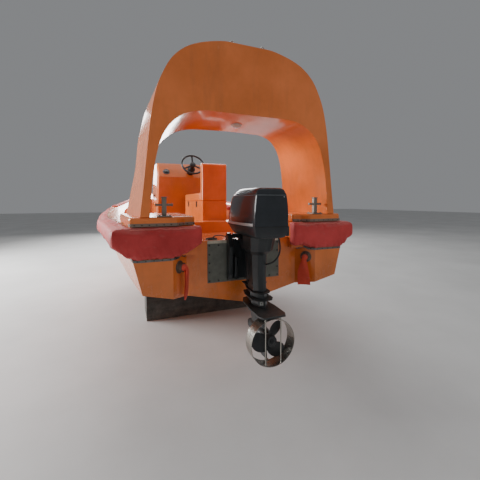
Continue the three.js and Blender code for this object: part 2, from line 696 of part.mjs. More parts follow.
function clampBracket() {
  const cheek = (x0, x1) => prismX([
    [104, 800], [66, 800], [34, 850], [20, 1080], [62, 1165], [80, 1190], [110, 1190],
    [128, 1165], [104, 1131],
  ], x0, x1);
  const { x, y, half } = SOCKET;
  return joined(
    block(-168, 168, 84, 104, 800, 1120),
    cheek(-168, -134),
    cheek(134, 168),
    block(-168, -134, 84, 140, TRANSOM_TOP + GAP, 1148),
    block(134, 168, 84, 140, TRANSOM_TOP + GAP, 1148),
    block(x - half, x + half, 84, 104, 1110, 1139),
    block(x - half, x + half, 84, y + half, TRANSOM_TOP + GAP, 1139),
    block(x - half, x + half, y - half, y + half, TRANSOM_TOP + GAP, 1150),
    bar([-168, TILT_Y, TILT_Z], [-96, TILT_Y, TILT_Z], PIN_RADIUS, 16),
    bar([96, TILT_Y, TILT_Z], [168, TILT_Y, TILT_Z], PIN_RADIUS, 16),
  );
}

// Tilt tube, arm and upright king-pin column in one casting, bored for its pins.
function swivelBracket() {
  const casting = joined(
    bar([-116, TILT_Y, TILT_Z], [116, TILT_Y, TILT_Z], 20, 16),
    prismX([
      [108, 1150], [100, 1180], [62, 1180], [36, 1143], [-22, 1143], [-22, 1060], [10, 1060],
      [60, 1120],
    ], -70, 70),
    bar([0, KING_Y, 812], [0, KING_Y, 1143], 34, 20),
    prismX([[10, 1070], [50, 1070], [44, 880], [10, 860]], -28, 28),
  );
  return cut(
    casting,
    bar([-130, TILT_Y, TILT_Z], [130, TILT_Y, TILT_Z], PIN_RADIUS + GAP, 16),
    bar([0, KING_Y, 800], [0, KING_Y, 1160], PIN_RADIUS + GAP, 16),
  );
}

function legSolid() {
  const nose = 34;
  const ring = (z, aft, fore, half) => mirroredRing([
    [0, aft], [half * 0.55, aft + 14], [half, aft + 60], [half, fore - 40], [nose, fore],
    [0, fore],
  ].map(([x, y]) => new THREE.Vector3(x, y, z)));
  return joined(
    loft([
      ring(JOINT_Z + GAP, -262, -56, 56), ring(900, -250, -56, 58), ring(1050, -254, -56, 64),
      ring(1082, -296, -56, 92), ring(1191.5, -326, -54, 104),
    ]),
    block(-24, 24, -120, 16, 1149, 1184),
    block(-24, 24, -120, 16, 772, 806),
    bar([0, KING_Y, 1110], [0, KING_Y, 1160], PIN_RADIUS, 16),
    bar([0, KING_Y, 780], [0, KING_Y, 850], PIN_RADIUS, 16),
    block(-62, 62, -78, 22, 782, 791),
  );
}

function lowerUnit() {
  const strut = (z, aft, fore, half) => mirroredRing([
    [0, aft], [half * 0.6, aft + 40], [half, (aft + fore) / 2], [half * 0.7, fore - 30], [0, fore],
  ].map(([x, y]) => new THREE.Vector3(x, y, z)));
  const plate = prismZ([
    [0, -450], [84, -450], [104, -405], [104, -250], [84, -60], [56, 8], [0, 22],
    [-56, 8], [-84, -60], [-104, -250], [-104, -405], [-84, -450],
  ], PLATE_Z, PLATE_Z + 12);
  const bullet = turned([[0, 0], [38, 0], [52, 60], [52, 190], [40, 270], [18, 322], [0, 336]], 20)
    .rotateX(-Math.PI / 2).translate(0, -326, PROP_Z);
  const skeg = prismX([[-60, 440], [-120, 320], [-250, 290], [-316, 294], [-300, 440]], -7, 7);
  return joined(
    loft([strut(440, -318, -60, 26), strut(620, -300, -46, 36), strut(PLATE_Z + 6, -306, -42, 58)]),
    loft([strut(PLATE_Z + 5, -306, -42, 58), strut(JOINT_Z, -280, -46, 66)]),
    plate,
    bullet,
    skeg,
    bar([0, -300, PROP_Z], [0, PROP_Y - 32, PROP_Z], SHAFT_RADIUS, 16),
  );
}

function propGuard() {
  const inner = GUARD_RADIUS - 5;
  const band = turned([
    [inner, -50], [GUARD_RADIUS, -50], [GUARD_RADIUS, 50], [inner, 50], [inner, -50],
  ], 36).rotateX(-Math.PI / 2).translate(0, -380, PROP_Z);
  const rods = [-60, 60].map((x) => bar([x, -424, 305], [x, -424, PLATE_Z - GAP], 5, 8));
  const lug = block(-20, 20, -400, -345, PROP_Z + GUARD_RADIUS - 4, PLATE_Z - GAP);
  const heel = block(-9, 9, -345, -316.4, 290, 296);
  return joined(band, ...rods, lug, heel);
}

function propellerSolid() {
  const hub = turned([[0, -34], [40, -34], [44, 0], [38, 34], [0, 34]], 18).rotateX(-Math.PI / 2);
  const blade = new THREE.Shape();
  blade.moveTo(-26, 30);
  blade.bezierCurveTo(-74, 60, -76, 132, -8, PROP_RADIUS);
  blade.bezierCurveTo(54, 147, 70, 84, 26, 30);
  const leaf = new THREE.ExtrudeGeometry(blade, { depth: 7, bevelEnabled: false, curveSegments: 5 });
  leaf.translate(0, 0, -3.5).rotateX(Math.PI / 2);
  const pitch = THREE.MathUtils.degToRad(24);
  const blades = [30, 150, 270].map((turn) => leaf.clone()
    .rotateZ(pitch)
    .rotateY(THREE.MathUtils.degToRad(turn)));
  return cut(joined(hub, ...blades), bar([0, -60, 0], [0, 60, 0], SHAFT_RADIUS + GAP, 16));
}

function addEngine() {
  add('engine_cowl', cowlSolid(), ENGINE_BLACK);
  add('engine_pan', loft(PAN_SECTIONS.map((row) => engineOutline(row))), ENGINE_BLACK);
  add('powerhead', block(-105, 105, -380, 40, SPLIT_Z, 1485), CAST_BLACK);
  add('engine_leg', legSolid(), CAST_BLACK);
  add('lower_unit', lowerUnit(), CAST_BLACK);
  add('clamp_bracket', clampBracket(), CAST_BLACK);
  add('swivel_bracket', swivelBracket(), CAST_BLACK);
  add('propeller_guard', propGuard(), STAINLESS);
  const propeller = add('propeller', propellerSolid(), ENGINE_BLACK);
  propeller.position.set(0, PROP_Y, PROP_Z);
}

// Engine cable: up out of the gland on the ledge, over in a low arch, then along the ledge into
// the socket on the clamp bracket. It lies in one upright plane across the boat.
const CABLE_ROUTE = [
  { x: -280, z: 1136.3 }, { x: -280, z: 1141 }, { x: -277, z: 1156 }, { x: -268.3, z: 1169 },
  { x: -255.3, z: 1178 }, { x: -240, z: 1181 }, { x: -218.7, z: 1175 }, { x: -202.5, z: 1160 },
  { x: -186.3, z: 1144 }, { x: -164, z: 1136.5 }, { x: -140, z: 1136 },
  { x: SOCKET.x - SOCKET.half - GAP, z: 1136 },
];

function addCable() {
  const flange = [[0, GAP], [50, GAP], [50, 3], [30, 6], [0, 6]];
  const gland = add('cable_gland', turned(flange, 20), RUBBER);
  gland.position.set(CABLE_ROUTE[0].x, SOCKET.y, TRANSOM_TOP);
  const route = CABLE_ROUTE.map(({ x, z }) => [x, SOCKET.y, z]);
  add('engine_cable', tube(route, CABLE_RADIUS, 24), RUBBER);
}

function addBoat() {
  const hull = hullSolid();
  add('hull', hull, GRP);
  add('support_block_aft', supportBlock(hull, 1420, 1900, 756), BLOCK_DARK);
  add('support_block_forward', supportBlock(hull, 3300, 3700, 640), BLOCK_DARK);
  add('cockpit_sole', prismZ(cockpitOutline(0, 14), SOLE_Z + GAP, SOLE_TOP), GREY_SOLE);
  add('quarter_pad_starboard', quarterPad(), GRP);
  add('quarter_pad_port', flipped(quarterPad()), GRP);
  add('arch', archSolid(), GRP);
  const lamp = add('arch_lamp', turned([[0, -30], [30, -26], [46, -8], [50, 0], [0, 0]], 20), LAMP);
  lamp.position.set(0, 300, ARCH_CLEAR - 0.1);
  for (const [name, x] of [['arch_eye_port', -134], ['arch_eye_starboard', 134]]) {
    add(name, archEye(), STAINLESS).position.set(x, 34, ARCH_TOP + 2 * GAP);
  }
  add('fender_starboard', sideFender(hull, 'starboard'), RED_COVER);
  add('fender_port', sideFender(hull, 'port'), RED_COVER);
  add('fender_bow', bowFender(hull), RED_COVER);
  addTowingPosts();
  add('transom_plate', block(-332.5, 332.5, TRANSOM_Y - 5, TRANSOM_Y - GAP, 776, TRANSOM_TOP), GREY_PLATE);
  add('scupper_starboard', scupper(), GALVANISED);
  add('scupper_port', flipped(scupper()), GALVANISED);
  add('drain_sleeve_starboard', drainSleeve(), DRAIN_CLOTH);
  add('drain_sleeve_port', flipped(drainSleeve()), DRAIN_CLOTH);
  add('bow_pad_starboard', bowPad(), RED_COVER);
  add('bow_pad_port', flipped(bowPad()), RED_COVER);
  addSeat();
  addConsole();
  addHelm();
  addEngine();
  addCable();
}

addBoat();
const box = new THREE.Box3().setFromObject(root);
boat.position.y = -(box.min.y + box.max.y) / 2;

export default root;
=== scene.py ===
"""Looks of an open rescue boat with a self-righting arch and an outboard engine.

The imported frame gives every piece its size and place, in metres, with +Y to the bow and +Z up.
Each class below dresses one part of the boat. It gives the frame's solids their rounded edges
and finishes, or puts a finished piece in a plain one's place.
"""

from __future__ import annotations

import logging
import math
from collections.abc import Sequence
from dataclasses import dataclass
from enum import Enum

import bmesh
import bpy
from bmesh.types import BMFace, BMVert
from mathutils import Euler, Matrix, Vector, noise
from mathutils.bvhtree import BVHTree

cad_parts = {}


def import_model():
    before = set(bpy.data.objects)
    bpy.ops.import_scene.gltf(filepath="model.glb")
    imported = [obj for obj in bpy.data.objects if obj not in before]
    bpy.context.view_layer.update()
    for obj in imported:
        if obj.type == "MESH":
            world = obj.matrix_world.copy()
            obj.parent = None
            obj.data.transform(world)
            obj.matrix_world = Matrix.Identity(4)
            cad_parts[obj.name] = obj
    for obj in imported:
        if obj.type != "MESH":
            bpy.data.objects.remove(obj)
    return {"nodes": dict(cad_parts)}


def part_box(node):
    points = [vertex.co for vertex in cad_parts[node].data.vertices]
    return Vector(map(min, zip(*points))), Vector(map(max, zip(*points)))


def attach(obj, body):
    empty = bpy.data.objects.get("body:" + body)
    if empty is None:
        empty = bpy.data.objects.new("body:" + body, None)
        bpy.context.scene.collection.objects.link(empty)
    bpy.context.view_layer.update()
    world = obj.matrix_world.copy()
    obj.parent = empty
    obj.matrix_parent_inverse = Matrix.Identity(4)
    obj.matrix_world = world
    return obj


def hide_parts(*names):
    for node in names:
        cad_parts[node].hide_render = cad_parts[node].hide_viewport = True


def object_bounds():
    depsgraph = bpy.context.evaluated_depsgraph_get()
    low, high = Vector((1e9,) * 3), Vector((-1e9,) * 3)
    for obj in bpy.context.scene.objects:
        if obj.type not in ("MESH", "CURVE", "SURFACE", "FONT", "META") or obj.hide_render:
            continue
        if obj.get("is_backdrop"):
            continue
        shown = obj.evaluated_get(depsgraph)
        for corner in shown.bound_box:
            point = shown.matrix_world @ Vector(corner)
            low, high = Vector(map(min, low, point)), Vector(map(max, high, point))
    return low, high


LOG = logging.getLogger("rescue_boat")

Colour = tuple[float, float, float]
Point = tuple[float, float, float]
Profile = Sequence[tuple[float, float]]

UP = Vector((0.0, 0.0, 1.0))
BOW = Vector((0.0, 1.0, 0.0))
STARBOARD = Vector((1.0, 0.0, 0.0))
SIDES = (("port", -1.0), ("starboard", 1.0))
EVEN: Point = (1.0, 1.0, 1.0)


class Slot(Enum):
    """The record's material slots."""

    GELCOAT = "grp_orange"
    COVER = "fender_red"
    DRAIN = "drain_cloth"
    GALVANISED = "galvanised"
    STAINLESS = "stainless"
    PLATE = "transom_grey"
    ENGINE = "engine_black"
    CAST = "cast_black"
    RUBBER = "rubber_black"
    BLOCK = "block_dark"
    LENS = "lamp_lens"
    SOLE = "sole_grey"


class Body(Enum):
    """The frame's bodies, which the pieces ride on."""

    BOAT = "boat"
    SWIVEL = "swivel"
    ENGINE = "engine"
    SCREW = "screw"
    WHEEL = "wheel"
    LID = "lid"
    DOOR = "door"


class Wire:
    """An output of a node tree, with the arithmetic that shader maths is written in."""

    def __init__(self, graph: Graph, socket: bpy.types.NodeSocket) -> None:
        """Wraps one output.

        Args:
            graph: the tree that the output belongs to.
            socket: the output itself.
        """
        self.graph = graph
        self.socket = socket

    def _math(self, operation: str, first: Feed, second: Feed) -> Wire:
        """Adds one Math node."""
        return self.graph.node("ShaderNodeMath", {0: first, 1: second}, operation=operation)

    def __add__(self, other: Feed) -> Wire:
        """Adds a value or a number."""
        return self._math("ADD", self, other)

    def __radd__(self, other: Feed) -> Wire:
        """Adds to a number."""
        return self._math("ADD", other, self)

    def __rsub__(self, other: Feed) -> Wire:
        """Takes this value from a number."""
        return self._math("SUBTRACT", other, self)

    def __mul__(self, other: Feed) -> Wire:
        """Multiplies by a value or a number."""
        return self._math("MULTIPLY", self, other)


Feed = Wire | float | int | tuple


class Graph:
    """The node tree of one material."""

    def __init__(self, name: str) -> None:
        """Starts a material with a Principled shader.

        Args:
            name: the material's name.
        """
        self.material = bpy.data.materials.new(name)
        self.material.use_nodes = True
        self.tree = self.material.node_tree
        self.tree.nodes.clear()
        self.shader = self.tree.nodes.new("ShaderNodeBsdfPrincipled")
        output = self.tree.nodes.new("ShaderNodeOutputMaterial")
        self.tree.links.new(self.shader.outputs[0], output.inputs[0])

    def node(
        self, kind: str, feeds: dict[str | int, Feed] | None = None, output: str | int = 0, **settings: object
    ) -> Wire:
        """Adds a node of any type.

        Args:
            kind: the node's type.
            feeds: values or wires for its inputs.
            output: the output that is wanted.
            settings: its own settings.

        Returns:
            The wanted output.
        """
        made = self.tree.nodes.new(kind)
        for key, value in settings.items():
            setattr(made, key, value)
        for key, value in (feeds or {}).items():
            self._feed(made.inputs[key], value)
        return Wire(self, made.outputs[output])

    def _feed(self, socket: bpy.types.NodeSocket, value: Feed) -> None:
        """Links a wire to an input, or sets the input's own value."""
        if isinstance(value, Wire):
            self.tree.links.new(value.socket, socket)
        elif isinstance(value, tuple) and socket.type == "RGBA":
            socket.default_value = (*value, 1.0)
        else:
            socket.default_value = value

    def surface(self, **feeds: Feed) -> None:
        """Sets inputs of the shader, named in words with underscores."""
        for key, value in feeds.items():
            words = key.replace("_", " ").title().replace("Ior", "IOR")
            self._feed(self.shader.inputs[words], value)

    def place(self, stretch: Point = EVEN) -> Wire:
        """The point on the piece, stretched along its axes."""
        point = self.node("ShaderNodeTexCoord", output="Object")
        return self.node("ShaderNodeMapping", {"Vector": point, "Scale": stretch})

    def noise(self, scale: float, detail: float = 3.0, rough: float = 0.5, stretch: Point = EVEN) -> Wire:
        """Adds a noise pattern.

        Args:
            scale: cells to the metre.
            detail: how many finer layers it holds.
            rough: how strong the finer layers are.
            stretch: how the pattern is squeezed along each axis.

        Returns:
            The pattern, from 0 to 1.
        """
        feeds = {"Vector": self.place(stretch), "Scale": scale, "Detail": detail, "Roughness": rough}
        return self.node("ShaderNodeTexNoise", feeds)

    def cells(self, scale: float, stretch: Point = EVEN) -> Wire:
        """Adds a pattern of cells, as the distance to the nearest centre."""
        return self.node("ShaderNodeTexVoronoi", {"Vector": self.place(stretch), "Scale": scale}, "Distance")

    def spread(self, value: Wire, low: float, high: float, start: float = 0.0, end: float = 1.0) -> Wire:
        """Maps a stretch of a value onto another, held at its ends.

        Args:
            value: the value.
            low: where the stretch begins.
            high: where the stretch ends.
            start: what the beginning becomes.
            end: what the end becomes.

        Returns:
            The mapped value.
        """
        feeds = {"Value": value, "From Min": low, "From Max": high, "To Min": start, "To Max": end}
        return self.node("ShaderNodeMapRange", feeds, clamp=True)

    def blots(
        self, low: float, high: float, scale: float, detail: float = 8.0, rough: float = 0.7,
        stretch: Point = EVEN,
    ) -> Wire:
        """A noise pattern as blots, which are 0 where it is under low and 1 where it is over high."""
        return self.spread(self.noise(scale, detail, rough, stretch), low, high)

    def settled(self, low: float, high: float, blots: Wire) -> Wire:
        """Where dust has settled in blots, on what faces up from a low to a high share."""
        normal = self.node("ShaderNodeTexCoord", output="Normal")
        return self.spread(self.node("ShaderNodeSeparateXYZ", {0: normal}, "Z"), low, high) * blots

    def height(self) -> Wire:
        """The height above the floor at rest, in metres."""
        return self.node("ShaderNodeSeparateXYZ", {0: self.place()}, "Z")

    def mixed(self, share: Feed, first: Feed, second: Feed) -> Wire:
        """Mixes two colours by a share."""
        return self.node("ShaderNodeMix", {0: share, 6: first, 7: second}, 2, data_type="RGBA")

    def bumped(self, relief: Wire, depth: float, strength: float = 1.0, under: Wire | None = None) -> Wire:
        """Adds relief to the surface.

        Args:
            relief: the pattern, from 0 to 1.
            depth: the relief's real depth in metres.
            strength: how strongly it shows.
            under: relief that lies under this one.

        Returns:
            The normal.
        """
        feeds: dict[str | int, Feed] = {"Height": relief, "Distance": depth, "Strength": strength}
        if under is not None:
            feeds["Normal"] = under
        return self.node("ShaderNodeBump", feeds)


def tinted(colour: Colour, gain: float, lift: float = 0.0) -> Colour:
    """A colour made stronger or weaker and lifted, held under 1."""
    return tuple(min(1.0, part * gain + lift) for part in colour)


@dataclass(frozen=True)
class Finish:
    """What every finish has: a name, the record's slot and a colour."""

    name: str
    slot: Slot
    colour: Colour

    def lay(self, graph: Graph) -> None:
        """Wires the finish. Each kind of finish has its own way."""
        raise NotImplementedError

    def material(self) -> bpy.types.Material:
        """The finish's material, made once."""
        known = bpy.data.materials.get(self.name)
        if known is not None:
            return known
        graph = Graph(self.name)
        self.lay(graph)
        graph.material.diffuse_color = (*self.colour, 1.0)
        return graph.material


@dataclass(frozen=True)
class Gelcoat(Finish):
    """Glossy gelcoat on glass fibre: mottled, streaked and scratched, with dust where it faces up."""

    dust: float = 0.3
    gloss: float = 0.16
    darkening_top: float = 0.0

    def lay(self, graph: Graph) -> None:
        """Wires the gelcoat."""
        deep, faded = tinted(self.colour, 0.8), tinted(self.colour, 1.12, 0.03)
        base = graph.mixed(graph.blots(0.3, 0.7, 1.7, 5.0, 0.6), deep, faded)
        streaks_and_darkening = graph.blots(0.52, 0.82, 9.0, 6.0, 0.65, (1.0, 1.0, 0.18)) * 0.22
        # Below the height given here the coat gets darker towards the bottom, on top of the vertical streaks.
        if self.darkening_top > 0.0:
            low = graph.spread(graph.height(), self.darkening_top - 0.45, self.darkening_top, 1.0, 0.0)
            streaks_and_darkening = streaks_and_darkening + low * graph.blots(0.35, 0.75, 5.0) * 0.5
        base = graph.mixed(streaks_and_darkening, base, (0.13, 0.085, 0.05))
        dusty = graph.settled(0.35, 0.95, graph.blots(0.25, 0.8, 7.0, 8.0, 0.65)) * self.dust
        base = graph.mixed(dusty, base, (0.62, 0.5, 0.38))
        worn = graph.spread(graph.noise(11.0, 5.0, 0.6), 0.3, 0.8, self.gloss, self.gloss + 0.09)
        ripple = graph.bumped(graph.noise(2.6, 2.0), 0.006, 0.35)
        skin = graph.bumped(graph.noise(120.0, 2.0), 0.0003, 0.12, ripple)
        scored = graph.bumped(graph.blots(0.62, 0.72, 55.0, 2.0, 0.5, (1.0, 0.12, 1.0)), 0.0003, 0.25, skin)
        rough = worn + dusty * 0.4 + streaks_and_darkening * 0.5
        graph.surface(base_color=base, roughness=rough, normal=scored, coat_weight=0.25, ior=1.5)


@dataclass(frozen=True)
class Cover(Finish):
    """Coated fabric over foam: a fine weave under a half-gloss coat, scuffed and creased."""

    weave: float = 900.0
    sheen: float = 0.5

    def lay(self, graph: Graph) -> None:
        """Wires the coated fabric."""
        patch = graph.noise(2.4, 5.0, 0.6)
        dull, pale = tinted(self.colour, 0.72), tinted(self.colour, 1.15, 0.035)
        base = graph.mixed(graph.spread(patch, 0.32, 0.7), dull, pale)
        scuff = graph.blots(0.58, 0.78, 24.0, 8.0, 0.75, (0.5, 0.5, 1.6))
        base = graph.mixed(scuff * 0.35, base, (0.55, 0.36, 0.32))
        soiled = graph.settled(0.3, 0.9, graph.blots(0.35, 0.8, 10.0, 7.0))
        base = graph.mixed(soiled * 0.4, base, (0.5, 0.42, 0.36))
        crease = graph.bumped(graph.noise(13.0, 4.0, 0.55, (1.0, 1.0, 0.4)), 0.009, 0.55)
        cloth = graph.bumped(graph.cells(self.weave), 0.0004, 0.3, crease)
        rough = graph.spread(patch, 0.3, 0.75, self.sheen, self.sheen + 0.2) + scuff * 0.15
        graph.surface(base_color=base, roughness=rough, normal=cloth, sheen_weight=0.1)


@dataclass(frozen=True)
class Metal(Finish):
    """Bare or plated metal: clouded, spotted and brushed along one axis."""

    rough: float = 0.4
    grain: Point = (1.0, 1.0, 1.0)
    spangle: float = 0.0
    stain: float = 0.2
    bare: float = 1.0

    def lay(self, graph: Graph) -> None:
        """Wires the metal."""
        dark = tinted(self.colour, 0.6)
        base = graph.mixed(graph.blots(0.3, 0.72, 14.0, 6.0, 0.6), dark, self.colour)
        brushed = graph.noise(160.0, 3.0, 0.5, self.grain)
        rough = graph.spread(brushed, 0.3, 0.7, self.rough * 0.75, self.rough * 1.3)
        if self.spangle > 0.0:
            flower = graph.cells(70.0)
            base = graph.mixed(graph.spread(flower, 0.1, 0.7) * self.spangle, base, dark)
            rough = rough + graph.spread(flower, 0.2, 0.8) * self.spangle * 0.2
        spots = graph.blots(0.56, 0.74, 38.0, 8.0, 0.75)
        base = graph.mixed(spots * self.stain, base, (0.16, 0.1, 0.06))
        relief = graph.bumped(brushed, 0.0002, 0.35)
        metallic = self.bare - spots * self.stain
        graph.surface(base_color=base, roughness=rough + spots * 0.2, metallic=metallic, normal=relief)


@dataclass(frozen=True)
class Paint(Finish):
    """Paint or moulded plastic: even colour, a fine skin and dust in the flats."""

    rough: float = 0.3
    skin: float = 0.0003
    grain: float = 300.0
    coat: float = 0.2
    dust: float = 0.25
    chips: float = 0.0
    vary: float = 0.18

    def lay(self, graph: Graph) -> None:
        """Wires the paint."""
        lifted = tinted(self.colour, 1.35, 0.006)
        base = graph.mixed(graph.blots(0.35, 0.7, 7.0, 6.0, 0.6), self.colour, lifted)
        dusty = graph.settled(0.2, 0.95, graph.blots(0.3, 0.8, 30.0)) * self.dust
        base = graph.mixed(dusty, base, (0.34, 0.31, 0.27))
        worn = graph.spread(graph.noise(22.0, 6.0, 0.65), 0.3, 0.75, self.rough, self.rough + self.vary)
        rough = worn + dusty * 0.5
        if self.chips > 0.0:
            chipped = graph.blots(0.66, 0.7, 48.0, 8.0, 0.8) * self.chips
            base = graph.mixed(chipped, base, (0.28, 0.28, 0.27))
            rough = rough + chipped * 0.1
        relief = graph.bumped(graph.noise(self.grain, 3.0), self.skin, 0.4)
        graph.surface(base_color=base, roughness=rough, normal=relief, coat_weight=self.coat)


@dataclass(frozen=True)
class Sole(Finish):
    """Grey deck paint with a raised non-slip pattern of small lozenges."""

    pitch: float = 38.0

    def lay(self, graph: Graph) -> None:
        """Wires the non-slip deck."""
        dirt = graph.blots(0.3, 0.75, 3.5, 9.0)
        base = graph.mixed(dirt * 0.6, self.colour, (0.16, 0.13, 0.1))
        lozenge = graph.cells(self.pitch, (1.0, 0.55, 1.0))
        relief = graph.bumped(graph.spread(lozenge, 0.25, 0.4, 1.0, 0.0), 0.0015, 0.6)
        base = graph.mixed(graph.spread(lozenge, 0.2, 0.34, 0.28, 0.0), base, (0.5, 0.5, 0.48))
        graph.surface(base_color=base, roughness=0.62 + dirt * 0.25, normal=relief)


@dataclass(frozen=True)
class Board(Finish):
    """Dark painted support block: boards with worn edges, dust and splashes near the floor."""

    def lay(self, graph: Graph) -> None:
        """Wires the block."""
        grain = graph.noise(6.0, 8.0, 0.65, (0.35, 0.35, 6.0))
        base = graph.mixed(graph.spread(grain, 0.3, 0.75), self.colour, tinted(self.colour, 2.1, 0.01))
        low = graph.spread(graph.height(), 0.0, 0.34, 1.0, 0.0)
        splash = low * graph.blots(0.35, 0.7, 9.0, 9.0, 0.75)
        base = graph.mixed(splash * 0.55, base, (0.3, 0.28, 0.24))
        rubbed = graph.blots(0.6, 0.78, 18.0, 8.0, 0.8)
        base = graph.mixed(rubbed * 0.3, base, (0.24, 0.22, 0.19))
        graph.surface(base_color=base, roughness=0.78 - rubbed * 0.12, normal=graph.bumped(grain, 0.002, 0.5))


@dataclass(frozen=True)
class Lens(Finish):
    """Frosted lamp dome, hazed with age."""

    def lay(self, graph: Graph) -> None:
        """Wires the dome."""
        haze = graph.blots(0.3, 0.75, 26.0, 6.0)
        base = graph.mixed(haze * 0.35, self.colour, (0.45, 0.4, 0.34))
        relief = graph.bumped(graph.noise(90.0, 2.0), 0.0005, 0.4)
        graph.surface(base_color=base, roughness=0.22 + haze * 0.2, normal=relief, coat_weight=0.4)


ORANGE: Colour = (0.86, 0.208, 0.036)
RED: Colour = (0.62, 0.036, 0.034)

# The hull's coat gets darker towards the bottom below 1.05 m.
HULL_COAT = Gelcoat("orange_gelcoat_hull", Slot.GELCOAT, ORANGE, dust=0.2, darkening_top=1.05)
COAT = Gelcoat("orange_gelcoat", Slot.GELCOAT, ORANGE, dust=0.1)
COAT_STRIP = Gelcoat("pale_strip_gelcoat", Slot.GELCOAT, (0.86, 0.42, 0.2), dust=0.25)
FENDER_COVER = Cover("red_cover", Slot.COVER, RED)
# The welt's lighter red is a painted highlight along the stern covers' top aft edge.
WELT_CLOTH_PAINTED_HIGHLIGHT = Cover("red_welt_painted_highlight", Slot.COVER, (0.72, 0.16, 0.13), weave=700.0, sheen=0.35)
DRAIN_CLOTH = Cover("drain_cloth_red", Slot.DRAIN, (0.85, 0.075, 0.035), weave=700.0, sheen=0.6)
ZINC = Metal("galvanised_steel", Slot.GALVANISED, (0.4, 0.355, 0.3), 0.5, spangle=0.45, stain=0.4, bare=0.6)
STRIP_METAL = Metal("fastening_strip", Slot.GALVANISED, (0.3, 0.3, 0.28), 0.5, stain=0.45, bare=0.8)
RING_METAL = Metal("scupper_ring_metal", Slot.GALVANISED, (0.2, 0.155, 0.12), 0.5, stain=0.35, bare=0.35)
ANODE = Metal("anode_zinc", Slot.GALVANISED, (0.62, 0.62, 0.58), 0.62, stain=0.3, bare=0.4)
DARK_SCREW = Metal("dark_screws", Slot.GALVANISED, (0.12, 0.11, 0.1), 0.5, stain=0.5)
STAINLESS = Metal("stainless_steel", Slot.STAINLESS, (0.66, 0.63, 0.57), 0.2, stain=0.12)
GUARD_METAL = Metal(
    "guard_steel", Slot.STAINLESS, (0.42, 0.4, 0.36), 0.3, (1.0, 0.06, 1.0), stain=0.35, bare=0.95
)
TRIM = Metal("cowl_trim_silver", Slot.STAINLESS, (0.62, 0.62, 0.6), 0.34, stain=0.06, bare=0.35)
PLATE_METAL = Metal("transom_plate_metal", Slot.PLATE, (0.23, 0.235, 0.2), 0.55, stain=0.35, bare=0.4)
# Pale metal painted lighter than it is: a painted highlight where the transom cap is lit from above. The
# gland's rim uses it too.
CAP_METAL_PAINTED_HIGHLIGHT = Metal("transom_cap_painted_highlight", Slot.PLATE, (0.85, 0.76, 0.6), 0.5, stain=0.3, bare=0.3)
ENGINE_GLOSS = Paint(
    "engine_gloss_black", Slot.ENGINE, (0.016, 0.02, 0.025), 0.2, 0.00008, coat=0.35, dust=0.08, vary=0.05
)
# Grey instead of the cowl's black: a painted highlight along the cowl's lip.
COWL_LIP_PAINTED_HIGHLIGHT = Paint(
    "cowl_lip_painted_highlight", Slot.ENGINE, (0.1, 0.11, 0.12), 0.26, 0.00008, coat=0.3, dust=0.1, vary=0.05
)
ENGINE_SATIN = Paint(
    "engine_pan_black", Slot.ENGINE, (0.014, 0.016, 0.019), 0.32, coat=0.15, dust=0.12, vary=0.08
)
ENGINE_CAST = Paint("engine_satin_black", Slot.CAST, (0.015, 0.018, 0.02), 0.36, 0.0012, 220.0, chips=0.18)
PROP_PAINT = Paint("propeller_black", Slot.ENGINE, (0.016, 0.017, 0.019), 0.28, chips=0.3)
DULL_RING = Paint("dull_ring", Slot.RUBBER, (0.13, 0.13, 0.13), 0.4, grain=400.0)
RUBBER = Paint("black_rubber", Slot.RUBBER, (0.017, 0.017, 0.017), 0.55, grain=500.0, coat=0.0, dust=0.3)
HELM_PLASTIC = Paint("helm_plastic", Slot.RUBBER, (0.02, 0.02, 0.021), 0.32, grain=420.0, coat=0.1)
CABLE_SHEATH = Paint("cable_sheath", Slot.RUBBER, (0.12, 0.115, 0.105))
SEAL_STRIP = Paint("seal_strip", Slot.RUBBER, (0.22, 0.17, 0.13), 0.6, grain=380.0, coat=0.0, dust=0.4)
BLOCK_PAINT = Board("support_block_paint", Slot.BLOCK, (0.03, 0.031, 0.029))
LAMP_LENS = Lens("frosted_lens", Slot.LENS, (0.72, 0.69, 0.62))
SOLE_PAINT = Sole("non_slip_grey", Slot.SOLE, (0.22, 0.23, 0.23))
PALE_PLASTIC = Paint("pale_plastic", Slot.LENS, (0.6, 0.6, 0.57), 0.35)


def linked(name: str, data: bpy.types.ID) -> bpy.types.Object:
    """Puts a new object in the scene."""
    made = bpy.data.objects.new(name, data)
    bpy.context.scene.collection.objects.link(made)
    return made


def assign(piece: bpy.types.Object, body: Body, finish: Finish, replaces: str = "") -> None:
    """Gives a piece its body and its finish, and hides the node of the frame that it stands for."""
    piece.data.materials.clear()
    piece.data.materials.append(finish.material())
    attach(piece, body.value)
    if replaces:
        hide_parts(replaces)


def apply_modifiers(piece: bpy.types.Object) -> None:
    """Makes a piece's modifiers its mesh."""
    graph = bpy.context.evaluated_depsgraph_get()
    mesh = bpy.data.meshes.new_from_object(piece.evaluated_get(graph))
    piece.modifiers.clear()
    old = piece.data
    piece.data = mesh
    bpy.data.meshes.remove(old)


def upright(place: Vector, axis: Vector) -> Matrix:
    """A matrix that stands a shape's Z axis along an axis at a place."""
    return Matrix.Translation(place) @ axis.to_track_quat("Z", "Y").to_matrix().to_4x4()


def ways(path: Sequence[Vector]) -> list[Vector]:
    """The way that a line runs at each of its points."""
    return [after - before for before, after in zip([path[0], *path[:-1]], [*path[1:], path[-1]])]


